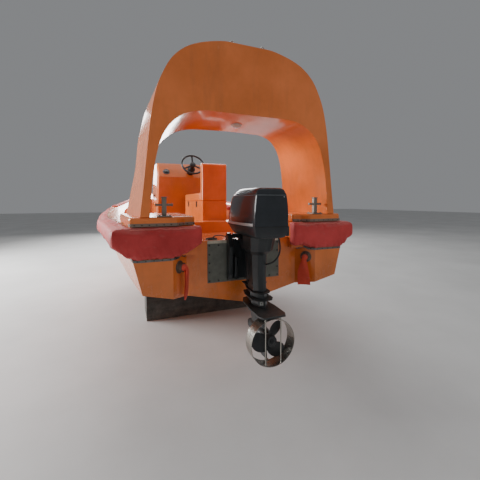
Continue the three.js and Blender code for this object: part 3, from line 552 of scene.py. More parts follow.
class Shape:
    """A bmesh with the few operations that the pieces are made with. Each returns the shape."""

    def __init__(self) -> None:
        """Starts an empty shape."""
        self.bm = bmesh.new()

    @classmethod
    def of_node(cls, node: bpy.types.Object) -> Shape:
        """Copies a solid of the frame, merged, with its flat faces whole."""
        shape = cls()
        shape.bm.from_mesh(node.data)
        bmesh.ops.remove_doubles(shape.bm, verts=shape.bm.verts, dist=2e-5)
        bmesh.ops.dissolve_limit(
            shape.bm, angle_limit=math.radians(0.6), verts=shape.bm.verts, edges=shape.bm.edges,
            use_dissolve_boundaries=False, delimit={"NORMAL"},
        )
        return shape

    def box(self, low: Vector, high: Vector) -> Shape:
        """Adds a block between two corners."""
        place = Matrix.Translation((low + high) / 2) @ Matrix.Diagonal((*(high - low), 1.0))
        bmesh.ops.create_cube(self.bm, size=1.0, matrix=place)
        return self

    def block(self, origin: Vector, low: Point, high: Point) -> Shape:
        """Adds a block between two corners that are measured from an origin."""
        return self.box(origin + Vector(low), origin + Vector(high))

    def rod(self, start: Vector, end: Vector, radius: float, sides: int = 24) -> Shape:
        """Adds a round bar, with so many flats round it, between the middles of its ends."""
        way = end - start
        bmesh.ops.create_cone(
            self.bm, cap_ends=True, cap_tris=False, segments=sides, radius1=radius, radius2=radius,
            depth=way.length, matrix=upright((start + end) / 2, way),
        )
        return self

    def turned(self, profile: Profile, place: Matrix, steps: int = 48) -> Shape:
        """Spins a profile about an axis.

        Args:
            profile: pairs of radius and height, closed on themselves or ending on the axis.
            place: where the profile's own Z axis lies.
            steps: how many steps go round.

        Returns:
            The shape.
        """
        old = set(self.bm.verts)
        verts = [self.bm.verts.new((radius, 0.0, height)) for radius, height in profile]
        edges = [self.bm.edges.new(pair) for pair in zip(verts, verts[1:])]
        bmesh.ops.spin(
            self.bm, geom=[*verts, *edges], cent=(0, 0, 0), axis=(0, 0, 1), dvec=(0, 0, 0),
            angle=math.tau, steps=steps, use_merge=True,
        )
        fresh = [v for v in self.bm.verts if v not in old]
        bmesh.ops.remove_doubles(self.bm, verts=fresh, dist=1e-6)
        bmesh.ops.transform(self.bm, matrix=place, verts=[v for v in fresh if v.is_valid])
        return self

    def lofted(self, rings: Sequence[Sequence[Vector]]) -> Shape:
        """Draws a closed body through rings that hold the same number of points."""
        loop = [self.bm.verts.new(point) for point in rings[0]]
        face = self.bm.faces.new(loop)
        for ring in rings[1:]:
            made = bmesh.ops.extrude_face_region(self.bm, geom=[face])["geom"]
            fresh = {v for v in made if isinstance(v, BMVert)}
            face = next(f for f in made if isinstance(f, BMFace))
            loop = [next(e.other_vert(v) for e in v.link_edges if e.other_vert(v) in fresh) for v in loop]
            for vert, point in zip(loop, ring):
                vert.co = point
        return self

    def swept(self, path: Sequence[Vector], section: Profile, ups: Sequence[Vector]) -> Shape:
        """Sweeps a section along a path.

        Args:
            path: the points of the path.
            section: pairs of how far across and how far up each corner lies.
            ups: what is up at each point of the path.

        Returns:
            The shape.
        """
        rings = []
        for point, run, up in zip(path, ways(path), ups):
            way = run.normalized()
            across = way.cross(up).normalized()
            rise = across.cross(way).normalized()
            rings.append([point + across * a + rise * b for a, b in section])
        return self.lofted(rings)

    def tube(self, path: Sequence[Vector], radius: float, sides: int) -> Shape:
        """Sweeps a round section with so many flats along a path, without twisting it."""
        turns = [math.tau * k / sides for k in range(sides)]
        up = (path[1] - path[0]).normalized().orthogonal().normalized()
        ups = []
        for run in ways(path):
            ahead = run.normalized()
            up = (up - ahead * up.dot(ahead)).normalized()
            ups.append(up)
        return self.swept(path, [(radius * math.cos(a), radius * math.sin(a)) for a in turns], ups)

    def round_edges(self, width: float, segments: int = 2, angle: float = 24.0) -> Shape:
        """Rounds the edges that fold by more than an angle in degrees."""
        bmesh.ops.recalc_face_normals(self.bm, faces=self.bm.faces)
        limit = math.radians(angle)
        folds = [e for e in self.bm.edges if len(e.link_faces) == 2 and e.calc_face_angle(0.0) > limit]
        bmesh.ops.bevel(
            self.bm, geom=folds, offset=width, offset_type="OFFSET", segments=segments, profile=0.5,
            affect="EDGES", material=-1, clamp_overlap=True,
        )
        return self

    def moved(self, place: Matrix) -> Shape:
        """Moves the whole shape."""
        bmesh.ops.transform(self.bm, matrix=place, verts=self.bm.verts)
        return self

    def finished(
        self, name: str, body: Body, finish: Finish, replaces: str = "", smooth: float = 32.0
    ) -> bpy.types.Object:
        """Makes the shape a piece of the boat.

        Args:
            name: the piece's name.
            body: the body that it rides on.
            finish: its finish.
            replaces: the frame's node that it stands for, if any.
            smooth: edges that fold by less than this angle look smooth.

        Returns:
            The piece.
        """
        bmesh.ops.recalc_face_normals(self.bm, faces=self.bm.faces)
        mesh = bpy.data.meshes.new(name)
        self.bm.to_mesh(mesh)
        self.bm.free()
        mesh.polygons.foreach_set("use_smooth", [True] * len(mesh.polygons))
        mesh.set_sharp_from_angle(angle=math.radians(smooth))
        piece = linked(name, mesh)
        weighted = piece.modifiers.new("flat_faces_first", "WEIGHTED_NORMAL")
        weighted.keep_sharp = True
        weighted.weight = 60
        assign(piece, body, finish, replaces)
        LOG.info("%s: %d faces", name, len(mesh.polygons))
        return piece


def eased(points: Sequence[Vector], steps: int) -> list[Vector]:
    """Draws a smooth line through points.

    Args:
        points: the points, in order.
        steps: how many steps each gap gets.

    Returns:
        The points of the line.
    """
    line = []
    for i in range(len(points) - 1):
        before, after = points[max(i - 1, 0)], points[min(i + 2, len(points) - 1)]
        start, end = points[i], points[i + 1]
        for k in range(steps):
            t = k / steps
            line.append(
                0.5 * (2 * start + (end - before) * t + (2 * before - 5 * start + 4 * end - after) * t * t
                       + (3 * start - before - 3 * end + after) * t ** 3)
            )
    return [*line, points[-1]]


def even(points: Sequence[Vector], pitch: float) -> list[tuple[Vector, Vector]]:
    """Sets places along a line at an even pitch.

    Args:
        points: the line.
        pitch: how far apart the places are.

    Returns:
        Each place with the way that the line runs there.
    """
    places = []
    left = pitch / 2
    for start, end in zip(points, points[1:]):
        way = end - start
        reach = way.length
        while left < reach:
            places.append((start + way * (left / reach), way.normalized()))
            left += pitch
        left -= reach
    return places


def surface_of(nodes: Sequence[bpy.types.Object]) -> BVHTree:
    """A tree of the faces of some solids, for finding the surface along a ray."""
    verts: list[Vector] = []
    faces: list[list[int]] = []
    for node in nodes:
        offset = len(verts)
        verts.extend(v.co.copy() for v in node.data.vertices)
        faces.extend([offset + i for i in polygon.vertices] for polygon in node.data.polygons)
    return BVHTree.FromPolygons(verts, faces)


def cord(
    name: str, line: Sequence[Vector], radius: float, body: Body, finish: Finish, replaces: str = ""
) -> None:
    """Draws a cable or a hose as one smooth line.

    Args:
        name: the piece's name.
        line: its middle line.
        radius: half its thickness.
        body: the body that it rides on.
        finish: its finish.
        replaces: the frame's node that it stands for, if any.
    """
    curve = bpy.data.curves.new(name, "CURVE")
    curve.dimensions = "3D"
    curve.bevel_depth = radius
    curve.bevel_resolution = 5
    spline = curve.splines.new("POLY")
    spline.points.add(len(line) - 1)
    for point, place in zip(spline.points, line):
        point.co = (*place, 1.0)
    spline.use_smooth = True
    piece = linked(name, curve)
    assign(piece, body, finish, replaces)
    length = sum((b - a).length for a, b in zip(line, line[1:]))


def screw_head(shape: Shape, place: Vector, axis: Vector, radius: float) -> None:
    """Adds a low domed screw head with its washer, standing off a surface."""
    profile = [(0.0, 0.62), (0.45, 0.55), (0.8, 0.32), (0.86, 0.15), (1.2, 0.14), (1.22, -0.2), (0.0, -0.2)]
    shape.turned([(radius * out, radius * up) for out, up in profile], upright(place, axis), 10)


def bolt_head(shape: Shape, place: Vector, axis: Vector, radius: float, height: float) -> None:
    """Adds a hexagon bolt head on a washer."""
    shape.rod(place, place + axis * height * 0.25, radius * 1.35, 18)
    shape.rod(place + axis * height * 0.2, place + axis * height, radius, 6)


class Boat:
    """The frame, with what the sub-assemblies need from it."""

    def __init__(self) -> None:
        """Loads the frame and keeps its box."""
        self.nodes: dict[str, bpy.types.Object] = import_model()["nodes"]
        self.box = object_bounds()
        self.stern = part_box("arch")[0].y
        self.hull = surface_of([self.nodes["hull"]])

    def at(self, x: float, aft: float, z: float) -> Vector:
        """A point from millimetres across, ahead of the arch's aft face and above the floor."""
        return Vector((x, aft, z)) / 1000.0 + Vector((0.0, self.stern, 0.0))

    def dress(
        self, node: str, body: Body, finish: Finish, width: float, segments: int = 2, angle: float = 24.0,
        smooth: float = 32.0,
    ) -> None:
        """Copies a node, rounds its edges and gives it its finish.

        Args:
            node: the node.
            body: the body that it belongs to.
            finish: its finish.
            width: how wide its edges are rounded.
            segments: how many flats a rounded edge has.
            angle: edges that fold by more than this are rounded.
            smooth: edges that fold by less than this look smooth.
        """
        shape = Shape.of_node(self.nodes[node]).round_edges(width, segments, angle)
        shape.finished(f"{node}_skin", body, finish, node, smooth)


@dataclass
class Studio:
    """The camera at the photograph's place, soft lights, and a pale floor and room."""

    eye: Point = (-0.923, -4.897, 1.452)
    turn: Point = (87.788, 0.144, -21.107)
    lens: float = 21.37
    shift: float = -0.0567
    floor_half: float = 40.0

    def camera(self) -> None:
        """Sets the camera up."""
        data = bpy.data.cameras.new("camera")
        data.sensor_width = 36.0
        data.lens = self.lens
        data.shift_y = self.shift
        data.clip_end = 200.0
        camera = linked("camera", data)
        camera.location = self.eye
        camera.rotation_euler = Euler([math.radians(a) for a in self.turn])
        bpy.context.scene.camera = camera

    def lamp(
        self, name: str, place: Point, aim: Point, size: tuple[float, float], power: float, mirrored: bool
    ) -> None:
        """Hangs one soft light.

        Args:
            name: its name.
            place: where it hangs.
            aim: what it points at.
            size: its width and height.
            power: its watts.
            mirrored: whether glossy surfaces mirror it.
        """
        data = bpy.data.lights.new(name, "AREA")
        data.shape = "RECTANGLE"
        data.size, data.size_y = size
        data.energy = power
        light = linked(name, data)
        light.location = place
        light.visible_glossy = mirrored
        light.rotation_euler = (Vector(aim) - Vector(place)).to_track_quat("-Z", "Y").to_euler()

    def lights(self) -> None:
        """Hangs the lights, brightest ahead and to port, and paints the room pale."""
        for name, place, aim, size, power, mirrored in (
            ("window_port", (-6.5, 2.0, 3.0), (0.0, -0.5, 1.2), (5.0, 3.0), 900.0, True),
            ("window_bow", (1.5, 8.5, 4.0), (0.0, -0.5, 1.6), (6.0, 3.5), 760.0, True),
            ("ceiling", (0.0, 1.5, 7.0), (0.0, 0.0, 1.0), (6.0, 6.0), 260.0, True),
            ("fill_stern", (2.0, -8.0, 4.6), (0.0, -2.0, 1.2), (5.0, 3.0), 60.0, False),
        ):
            self.lamp(name, place, aim, size, power, mirrored)
        world = bpy.data.worlds.new("pale_room")
        world.use_nodes = True
        room = world.node_tree.nodes["Background"]
        room.inputs[0].default_value = (0.78, 0.8, 0.83, 1.0)
        room.inputs[1].default_value = 0.3
        bpy.context.scene.world = world

    def floor(self) -> None:
        """Lays the floor."""
        graph = Graph("pale_floor")
        base = graph.mixed(graph.blots(0.3, 0.7, 0.7, 6.0, 0.6), (0.56, 0.56, 0.55), (0.66, 0.66, 0.65))
        graph.surface(base_color=base, roughness=0.7)
        bm = bmesh.new()
        bmesh.ops.create_grid(bm, x_segments=1, y_segments=1, size=self.floor_half)
        mesh = bpy.data.meshes.new("floor")
        bm.to_mesh(mesh)
        bm.free()
        mesh.materials.append(graph.material)
        linked("floor", mesh)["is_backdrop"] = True

    def build(self) -> None:
        """Builds the studio."""
        self.camera()
        self.lights()
        self.floor()


@dataclass
class Cable:
    """The engine cable that loops from the ledge's gland to the clamp, and the gland."""

    boat: Boat
    aft: float = 170.0
    radius: float = 0.005
    route: tuple[tuple[float, float], ...] = (
        (-268.0, 1136.3), (-267.0, 1141.0), (-263.0, 1150.0), (-252.0, 1160.0), (-234.0, 1165.0),
        (-208.0, 1165.0), (-180.0, 1160.0), (-155.0, 1150.0), (-134.0, 1140.0), (-112.3, 1136.0),
    )
    gland_x: float = -280.0
    ledge: float = 1130.3

    def build(self) -> None:
        """Lays the cable, and turns the gland: a dark raised collar in a pale rim, whose pale metal is a
        painted highlight.
        """
        line = eased([self.boat.at(x, self.aft, z) for x, z in self.route], 3)
        cord("cable_loop", line, self.radius, Body.BOAT, CABLE_SHEATH, "engine_cable")
        place = Matrix.Translation(self.boat.at(self.gland_x, self.aft, self.ledge))
        collar = [
            (0.0, 0.0), (0.05, 0.0), (0.05, 0.003), (0.0478, 0.0095), (0.044, 0.013), (0.038, 0.0138),
            (0.033, 0.0115), (0.03, 0.0056), (0.0, 0.0056),
        ]
        Shape().turned(collar, place, 64).finished("gland_flange", Body.BOAT, RUBBER, "cable_gland")
        rim = [
            (0.0485, 0.0002), (0.0538, 0.0002), (0.0538, 0.0022), (0.052, 0.0038), (0.0485, 0.0038),
            (0.0485, 0.0002),
        ]
        # The rim's pale metal is a painted highlight.
        Shape().turned(rim, place, 64).finished("gland_rim", Body.BOAT, CAP_METAL_PAINTED_HIGHLIGHT)


@dataclass
class HullWork:
    """The hull with its sole, quarter pads, stern fittings, blocks and drain sleeves."""

    boat: Boat
    edge: float = 0.006
    pad_edge: float = 0.02
    plate_half: float = 332.5
    plate_foot: float = 776.0
    plate_top: float = 1130.0
    plate_face: float = 105.0
    plate_inset: float = 16.0
    cap_high: float = 25.0
    cap_start: float = 166.0
    screw: float = 0.007
    scupper: Point = (575.0, 31.6, 950.0)
    mouth: float = 27.0
    strip_foot: float = 1270.6
    strip_plan: tuple[tuple[float, float], ...] = (
        (937.0, 40.0), (923.0, 0.0), (592.0, 0.0), (532.0, 60.0), (448.0, 60.0),
    )

    def mouldings(self) -> None:
        """Dresses the hull, the pads that the arch stands on, the sole and the support blocks."""
        self.boat.dress("hull", Body.BOAT, HULL_COAT, self.edge)
        for side, _ in SIDES:
            self.boat.dress(f"quarter_pad_{side}", Body.BOAT, COAT, self.pad_edge, segments=4)
        self.boat.dress("cockpit_sole", Body.BOAT, SOLE_PAINT, 0.001, segments=1)
        for place in ("aft", "forward"):
            self.boat.dress(f"support_block_{place}", Body.BOAT, BLOCK_PAINT, 0.004, angle=40.0)

    def stern_plate(self) -> None:
        """Dresses the transom plate, sets its screws and caps the two ends of its top edge."""
        self.boat.dress("transom_plate", Body.BOAT, PLATE_METAL, 0.0012)
        reach = self.plate_half - self.plate_inset
        foot, head = self.plate_foot + self.plate_inset, self.plate_top - self.cap_high - self.plate_inset
        across = [reach - k * (reach / 4) for k in range(9)]
        heights = [foot + k * (head - foot) / 4 for k in range(5)]
        places = [(x, z) for x in across for z in (heights[0], heights[-1])]
        places += [(x, z) for x in (across[0], across[-1]) for z in heights[1:-1]]
        screws, cap = Shape(), Shape()
        for x, z in places:
            screw_head(screws, self.boat.at(x, self.plate_face, z), -BOW, self.screw)
        screws.finished("transom_screws", Body.BOAT, DARK_SCREW)
        for _, side in SIDES:
            left, right = sorted((self.cap_start * side, self.plate_half * side))
            low = self.boat.at(left, self.plate_face - 2.2, self.plate_top - self.cap_high)
            cap.box(low, self.boat.at(right, self.plate_face + 0.5, self.plate_top + 0.2))
        # The cap's pale metal is a painted highlight where the cap is lit from above.
        cap.round_edges(0.0009).finished("transom_cap", Body.BOAT, CAP_METAL_PAINTED_HIGHLIGHT)

    @staticmethod
    def corner(side: float) -> tuple[Vector, Vector]:
        """The way out of the stern's angled face on one side, and the way along it."""
        out, along = Vector((-140.0 * side, -125.0, 0.0)), Vector((-125.0 * side, 140.0, 0.0))
        return out.normalized(), along.normalized()

    def scuppers(self) -> None:
        """Dresses the scuppers' flanges and sets their screws."""
        x, aft, z = self.scupper
        for side, sign in SIDES:
            self.boat.dress(f"scupper_{side}", Body.BOAT, RING_METAL, 0.0008, smooth=40.0)
            out, along = self.corner(sign)
            middle = self.boat.at(x * sign, aft, z)
            screws = Shape()
            for angle in (math.radians(45 + 90 * k) for k in range(4)):
                place = middle + (along * math.cos(angle) + UP * math.sin(angle)) * 0.0435 + out * 0.0075
                screw_head(screws, place, out, 0.0038)
            screws.finished(f"scupper_screws_{side}", Body.BOAT, STAINLESS)

    def sleeve_ring(self, side: float, row: Sequence[float], folds: float) -> list[Vector]:
        """One turn of a drain sleeve's cloth.

        Args:
            side: 1 for starboard and -1 for port.
            row: how far out and down it lies, its lean, how open it is, its half-width, its shift
                along the stern's angled face, and how far its edge slants.
            folds: how many layers it is pleated into.

        Returns:
            The points round it.
        """
        out_by, down, lean, opened, half, shift, slant = row
        out, along = self.corner(side)
        across = out * math.sin(math.radians(lean)) + UP * math.cos(math.radians(lean))
        x, aft, z = self.scupper
        centre = self.boat.at(x * side, aft, z - down) + (out * out_by + along * shift) / 1000.0
        ring = []
        for k in range(56):
            angle = math.tau * k / 56
            t = math.cos(angle)
            if folds > 1:
                wide, deep = half * math.sin(1.5 * math.pi * t), 7.0 * t
            else:
                wide, deep = half * t, 4.5 * math.sin(2.2 * t + down * 0.02)
            layer = 1.7 * math.copysign(math.sqrt(abs(math.sin(angle))), math.sin(angle))
            a = opened * self.mouth * t + (1.0 - opened) * wide
            b = opened * self.mouth * math.sin(angle) + (1.0 - opened) * (deep + layer)
            ring.append(centre + (along * a + across * b - UP * slant * wide / max(half, 1.0)) / 1000.0)
        return ring

    def sleeves(self) -> None:
        """Hangs the drain sleeves: cloth tubes held in the scuppers, flat where they hang."""
        for side, sign, folds, flat, rows in (
            ("starboard", 1.0, 1.0, (0.226, 0.28), (
                (22, 0, 0, 1, 27, 0, 0), (37, 0, 0, 1, 27, 0, 0), (47, 1, 14, 0.85, 22, 0, 0),
                (57, 8, 40, 0.5, 17, 1, 0), (62, 26, 72, 0.22, 21, 2, 0), (62, 52, 88, 0.08, 31, 4, 0),
                (61, 90, 90, 0.03, 43, 7, 0), (60, 135, 90, 0.0, 52, 8, 1), (59, 190, 90, 0.0, 56, 5, 3),
                (60, 246, 90, 0.0, 58, 0, 5),
            )),
            ("port", -1.0, 3.0, (0.25, 0.28), (
                (22, 0, 0, 1, 27, 0, 0), (37, 0, 0, 1, 27, 0, 0), (47, 1, 14, 0.85, 24, 0, 0),
                (57, 8, 40, 0.55, 20, 0, 0), (63, 26, 72, 0.25, 20, 2, 0), (64, 52, 88, 0.1, 21, 4, 0),
                (63, 90, 90, 0.0, 22, 6, 0), (62, 135, 90, 0.0, 22, 2, 0), (61, 190, 90, 0.0, 22, -3, -3),
                (60, 232, 90, 0.0, 15, -9, -12),
            )),
        ):
            rings = eased([Vector(row) for row in rows], 4)
            shape = Shape().lofted([self.sleeve_ring(sign, row, folds) for row in rings])
            ends = [face for face in shape.bm.faces if len(face.verts) > 8]
            bmesh.ops.delete(shape.bm, geom=ends, context="FACES_ONLY")
            piece = shape.finished(f"sleeve_{side}", Body.BOAT, DRAIN_CLOTH, f"drain_sleeve_{side}", 70.0)
            wall = piece.modifiers.new("cloth_thickness", "SOLIDIFY")
            wall.thickness = 0.0011
            apply_modifiers(piece)

    def foot_strips(self) -> None:
        """Fastens a dark strip with screws round the aft foot of each quarter pad."""
        for side, sign in SIDES:
            strip, screws = Shape(), Shape()
            for start, end in zip(self.strip_plan, self.strip_plan[1:]):
                a, b = (self.boat.at(x * sign, y, self.strip_foot) for x, y in (start, end))
                out = (b - a).normalized().cross(UP)
                out = out if out.y < 0.0 else -out
                section = [a - out * 0.001, b - out * 0.001, b + out * 0.003, a + out * 0.003]
                strip.lofted([[point + UP * lift for point in section] for lift in (0.0, 0.0235)])
                for place, _ in even([a, b], 0.052):
                    screw_head(screws, place + out * 0.003 + UP * 0.012, out, 0.0042)
            strip.round_edges(0.0008, 1, 50.0).finished(f"pad_strip_{side}", Body.BOAT, SEAL_STRIP)
            screws.finished(f"pad_strip_screws_{side}", Body.BOAT, DARK_SCREW)

    def build(self) -> None:
        """Builds the hull's pieces."""
        self.mouldings()
        self.stern_plate()
        self.scuppers()
        self.sleeves()
        self.foot_strips()


@dataclass
class Fenders:
    """The covered foam fenders round the gunwale, their fastening strips, and the bow pads."""

    boat: Boat
    voxel: float = 0.014
    bow_voxel: float = 0.018
    pad_voxel: float = 0.009
    cap: float = 0.011
    frames: int = 20
    slack: float = -0.045
    crease_reach: float = 0.11
    crease_depth: float = 0.0062
    strip_half: float = 0.0085
    strip_thick: float = 0.003
    strip_drop: float = 0.0105
    deck_strip_half: float = 0.0125
    welt_height: float = 1240.0
    welt_radius: float = 0.0048
    screw_pitch: float = 0.058

    def neighbours(self) -> BVHTree:
        """The solids that the covers must keep clear of."""
        names = ("hull", "quarter_pad_port", "quarter_pad_starboard", "scupper_port", "scupper_starboard")
        return surface_of([self.boat.nodes[name] for name in names])

    def remeshed(self, name: str, voxel: float) -> bpy.types.Object:
        """Copies a fender's solid and remeshes it in even cells.

        Args:
            name: the fender's node.
            voxel: the size of the cells.

        Returns:
            The new piece, still bare.
        """
        shape = Shape.of_node(self.boat.nodes[name])
        mesh = bpy.data.meshes.new(f"{name}_cover")
        shape.bm.to_mesh(mesh)
        shape.bm.free()
        piece = linked(f"{name}_cover", mesh)
        remesh = piece.modifiers.new("cells", "REMESH")
        remesh.mode = "VOXEL"
        remesh.voxel_size = voxel
        apply_modifiers(piece)
        return piece

    def room(self, around: BVHTree, point: Vector) -> float:
        """How far a point of a cover may move before it meets a neighbour."""
        near = around.find_nearest(point)
        return min(self.cap, 0.7 * near[3]) if near[3] is not None else self.cap

    def relax(self, piece: bpy.types.Object, around: BVHTree) -> None:
        """Lets a cover settle as cloth over its foam, held where it is fastened.

        Args:
            piece: the remeshed cover.
            around: the solids next to it.
        """
        mesh = piece.data
        start = [v.co.copy() for v in mesh.vertices]
        free = [self.room(around, point) for point in start]
        held = piece.vertex_groups.new(name="held")
        for i, reach in enumerate(free):
            held.add([i], 1.0 - min(1.0, reach / self.cap), "REPLACE")
        cloth = piece.modifiers.new("cloth", "CLOTH")
        settings = cloth.settings
        stiffness = {"tension": 12.0, "compression": 12.0, "shear": 4.0, "bending": 0.6}
        for kind, value in stiffness.items():
            setattr(settings, f"{kind}_stiffness", value)
        settings.quality = 4
        settings.mass = 0.4
        settings.shrink_min = self.slack
        settings.use_pressure = True
        settings.uniform_pressure_force = 3.0
        settings.vertex_group_mass = "held"
        settings.effector_weights.gravity = 0.0
        cloth.point_cache.frame_start = 1
        cloth.point_cache.frame_end = self.frames
        scene = bpy.context.scene
        for frame in range(1, self.frames + 1):
            scene.frame_set(frame)
        apply_modifiers(piece)
        scene.frame_set(1)
        for vert, home, reach in zip(piece.data.vertices, start, free):
            move = vert.co - home
            if move.length > reach:
                vert.co = home + move * (reach / move.length)

    def crease(self, piece: bpy.types.Object, around: BVHTree) -> None:
        """Gathers the cover into small creases that run up from where it is fastened.

        Args:
            piece: the cover.
            around: the solids next to it.
        """
        mesh = piece.data
        normals = [Vector(v.vector) for v in mesh.vertex_normals]
        low = {}
        for vert in mesh.vertices:
            key = (round(vert.co.x / 0.05), round(vert.co.y / 0.05))
            low[key] = min(low.get(key, 9.0), vert.co.z)
        for vert, normal in zip(mesh.vertices, normals):
            co = vert.co
            along = co.y if abs(normal.x) > abs(normal.y) else co.x
            above = co.z - low[(round(co.x / 0.05), round(co.y / 0.05))]
            fade = max(0.0, 1.0 - above / self.crease_reach) ** 1.5
            lean = along + 0.35 * above
            fold = noise.noise(Vector((lean * 26.0, above * 3.0, 7.0)))
            fold += 0.5 * noise.noise(Vector((lean * 55.0, above * 6.0, 3.0)))
            swell = noise.noise(Vector((co.x * 3.1, co.y * 3.1, co.z * 5.0)))
            shift = fade * fold * self.crease_depth * 2.0 + swell * 0.0022
            room = self.room(around, co)
            vert.co = co + normal * max(-0.005, min(shift, room))

    def cover(self, name: str, voxel: float, around: BVHTree) -> bpy.types.Object:
        """Makes one fender's cover."""
        piece = self.remeshed(name, voxel)
        self.relax(piece, around)
        fine = piece.modifiers.new("fine", "SUBSURF")
        fine.levels = fine.render_levels = 1
        apply_modifiers(piece)
        self.crease(piece, around)
        mesh = piece.data
        mesh.polygons.foreach_set("use_smooth", [True] * len(mesh.polygons))
        assign(piece, Body.BOAT, FENDER_COVER, name)
        LOG.info("%s_cover: %d faces", name, len(mesh.polygons))
        return piece

    def welt(self, name: str, side: float, cover: bpy.types.Object) -> None:
        """Runs a puckered welt along the upper aft edge of a stern cover, in a lighter red that is a painted
        highlight on that edge.

        Args:
            name: the side's name.
            side: 1 for starboard and -1 for port.
            cover: the cover it is sewn to.
        """
        skin = surface_of([cover])
        line = []
        for x in range(462, 931, 9):
            face = skin.ray_cast(self.boat.at(x * side, -400.0, self.welt_height), BOW)[0]
            if face is None:
                continue
            top = skin.ray_cast(face + BOW * 0.011 + UP * 0.1, -UP)[0]
            if top is None:
                continue
            pucker = noise.noise(Vector((x * 0.055, side * 3.0, 1.0)))
            line.append(Vector((face.x, face.y + 0.008 - 0.0015 * pucker, top.z - 0.0012 + 0.0022 * pucker)))
        line[0] -= UP * 0.006
        line[-1] -= UP * 0.006
        welt = Shape().tube(line, self.welt_radius, 12)
        # The welt's lighter red is a painted highlight.
        welt.finished(f"fender_highlight_welt_{name}", Body.BOAT, WELT_CLOTH_PAINTED_HIGHLIGHT, smooth=60.0)

    def rays(self) -> list[tuple[Vector, Vector]]:
        """Level rays from outside the boat to its starboard side, from the stern to the stem."""
        across = (512, 530, 560, 590, 620, 628, 650, 720, 800, 880, 908)
        along = (-24, 20, 90, 180, 300, 450, 600, 800, 1000, 1250, 1500, *range(1700, 3001, 130))
        found = [(self.boat.at(x, -400, 0.0), BOW) for x in across]
        found += [(self.boat.at(1600, y, 0.0), -STARBOARD) for y in along]
        centre = self.boat.at(0, 3100, 0.0)
        for angle in (math.radians(3.0 * k) for k in range(31)):
            out = Vector((math.cos(angle), math.sin(angle), 0.0))
            found.append((centre + out * 4.0, -out))
        return found

    def strip_line(self, side: float) -> list[tuple[Vector, Vector]]:
        """Finds the fastening strip's line on the hull, just under the fenders.

        Args:
            side: 1 for starboard and -1 for port.

        Returns:
            The points with the way out of the hull at each.
        """
        names = ("fender_port", "fender_starboard", "fender_bow", "hull")
        above = surface_of([self.boat.nodes[name] for name in names])
        line = []
        foot = 1.035
        for start, way in self.rays():
            origin = Vector((start.x * side, start.y, foot - 0.012))
            way = Vector((way.x * side, way.y, 0.0))
            hit, out, _, _ = self.boat.hull.ray_cast(origin, way)
            if hit is None:
                continue
            probe = hit - way * 0.006 - UP * 0.03
            roof = above.ray_cast(probe, UP)[0]
            if roof is not None and roof.z - hit.z < 0.2:
                foot = roof.z
                origin.z = foot - self.strip_drop
                hit, out, _, _ = self.boat.hull.ray_cast(origin, way)
                if hit is None:
                    continue
            line.append((hit, out.normalized()))
        return line

    def strips(self) -> None:
        """Fastens the covers' lower edges: a strip along the hull with a row of screws."""
        for name, side in SIDES:
            line = self.strip_line(side)
            centres = [point for point, _ in line]
            rings = []
            for (point, out), run in zip(line, ways(centres)):
                way = run.normalized()
                flat = way.cross(UP).normalized()
                flat = flat if flat.dot(out) > 0 else -flat
                rise = way.cross(flat).normalized()
                rise = rise if rise.z > 0 else -rise
                half = self.strip_half + 0.0016 * noise.noise(Vector((point.x * 9.0, point.y * 9.0, 2.0)))
                thick = self.strip_thick
                corners = ((-half, -0.002), (half, -0.002), (half, thick), (-half, thick))
                rings.append([point + rise * up + flat * off for up, off in corners])
            strip = Shape().lofted(rings).round_edges(0.0007, 1, 50.0)
            strip.finished(f"fastening_strip_{name}", Body.BOAT, STRIP_METAL)
            screws = Shape()
            for place, _ in even(centres, self.screw_pitch):
                near, out, _, _ = self.boat.hull.find_nearest(place)
                flat = Vector((out.x, out.y, 0.0)).normalized()
                screw_head(screws, near + flat * self.strip_thick, flat, 0.0042)
            screws.finished(f"fastening_screws_{name}", Body.BOAT, DARK_SCREW)

    def deck_strips(self) -> None:
        """Fastens the covers' upper edges: a pale strip along the deck with a row of dark screws."""
        plan = [(937, 110), (951, 220), (1065, 1000), (1168, 1700), (1203, 2300), (1164, 2780)]
        half = self.deck_strip_half
        section = [(-half, 0.0004), (half, 0.0004), (half, 0.0036), (-half, 0.0036)]
        for name, side in SIDES:
            line = []
            for spot in eased([Vector((x, y, 0.0)) for x, y in plan], 6):
                hit = self.boat.hull.ray_cast(self.boat.at((spot.x - 7.0) * side, spot.y, 3000.0), -UP)[0]
                if hit is not None:
                    line.append(self.boat.at(spot.x * side, spot.y, 0.0) + UP * hit.z)
            strip = Shape().swept(line, section, [UP] * len(line)).round_edges(0.0008, 1, 50.0)
            strip.finished(f"deck_strip_{name}", Body.BOAT, COAT_STRIP)
            screws = Shape()
            for place, _ in even(line, 0.23):
                screw_head(screws, place + UP * 0.0036, UP, 0.0075)
            screws.finished(f"deck_strip_screws_{name}", Body.BOAT, DARK_SCREW)

    def build(self) -> None:
        """Builds the fenders and the pads."""
        around = self.neighbours()
        for name, side in SIDES:
            self.welt(name, side, self.cover(f"fender_{name}", self.voxel, around))
        self.cover("fender_bow", self.bow_voxel, around)
        for name, _ in SIDES:
            self.cover(f"bow_pad_{name}", self.pad_voxel, around)
        self.strips()
        self.deck_strips()


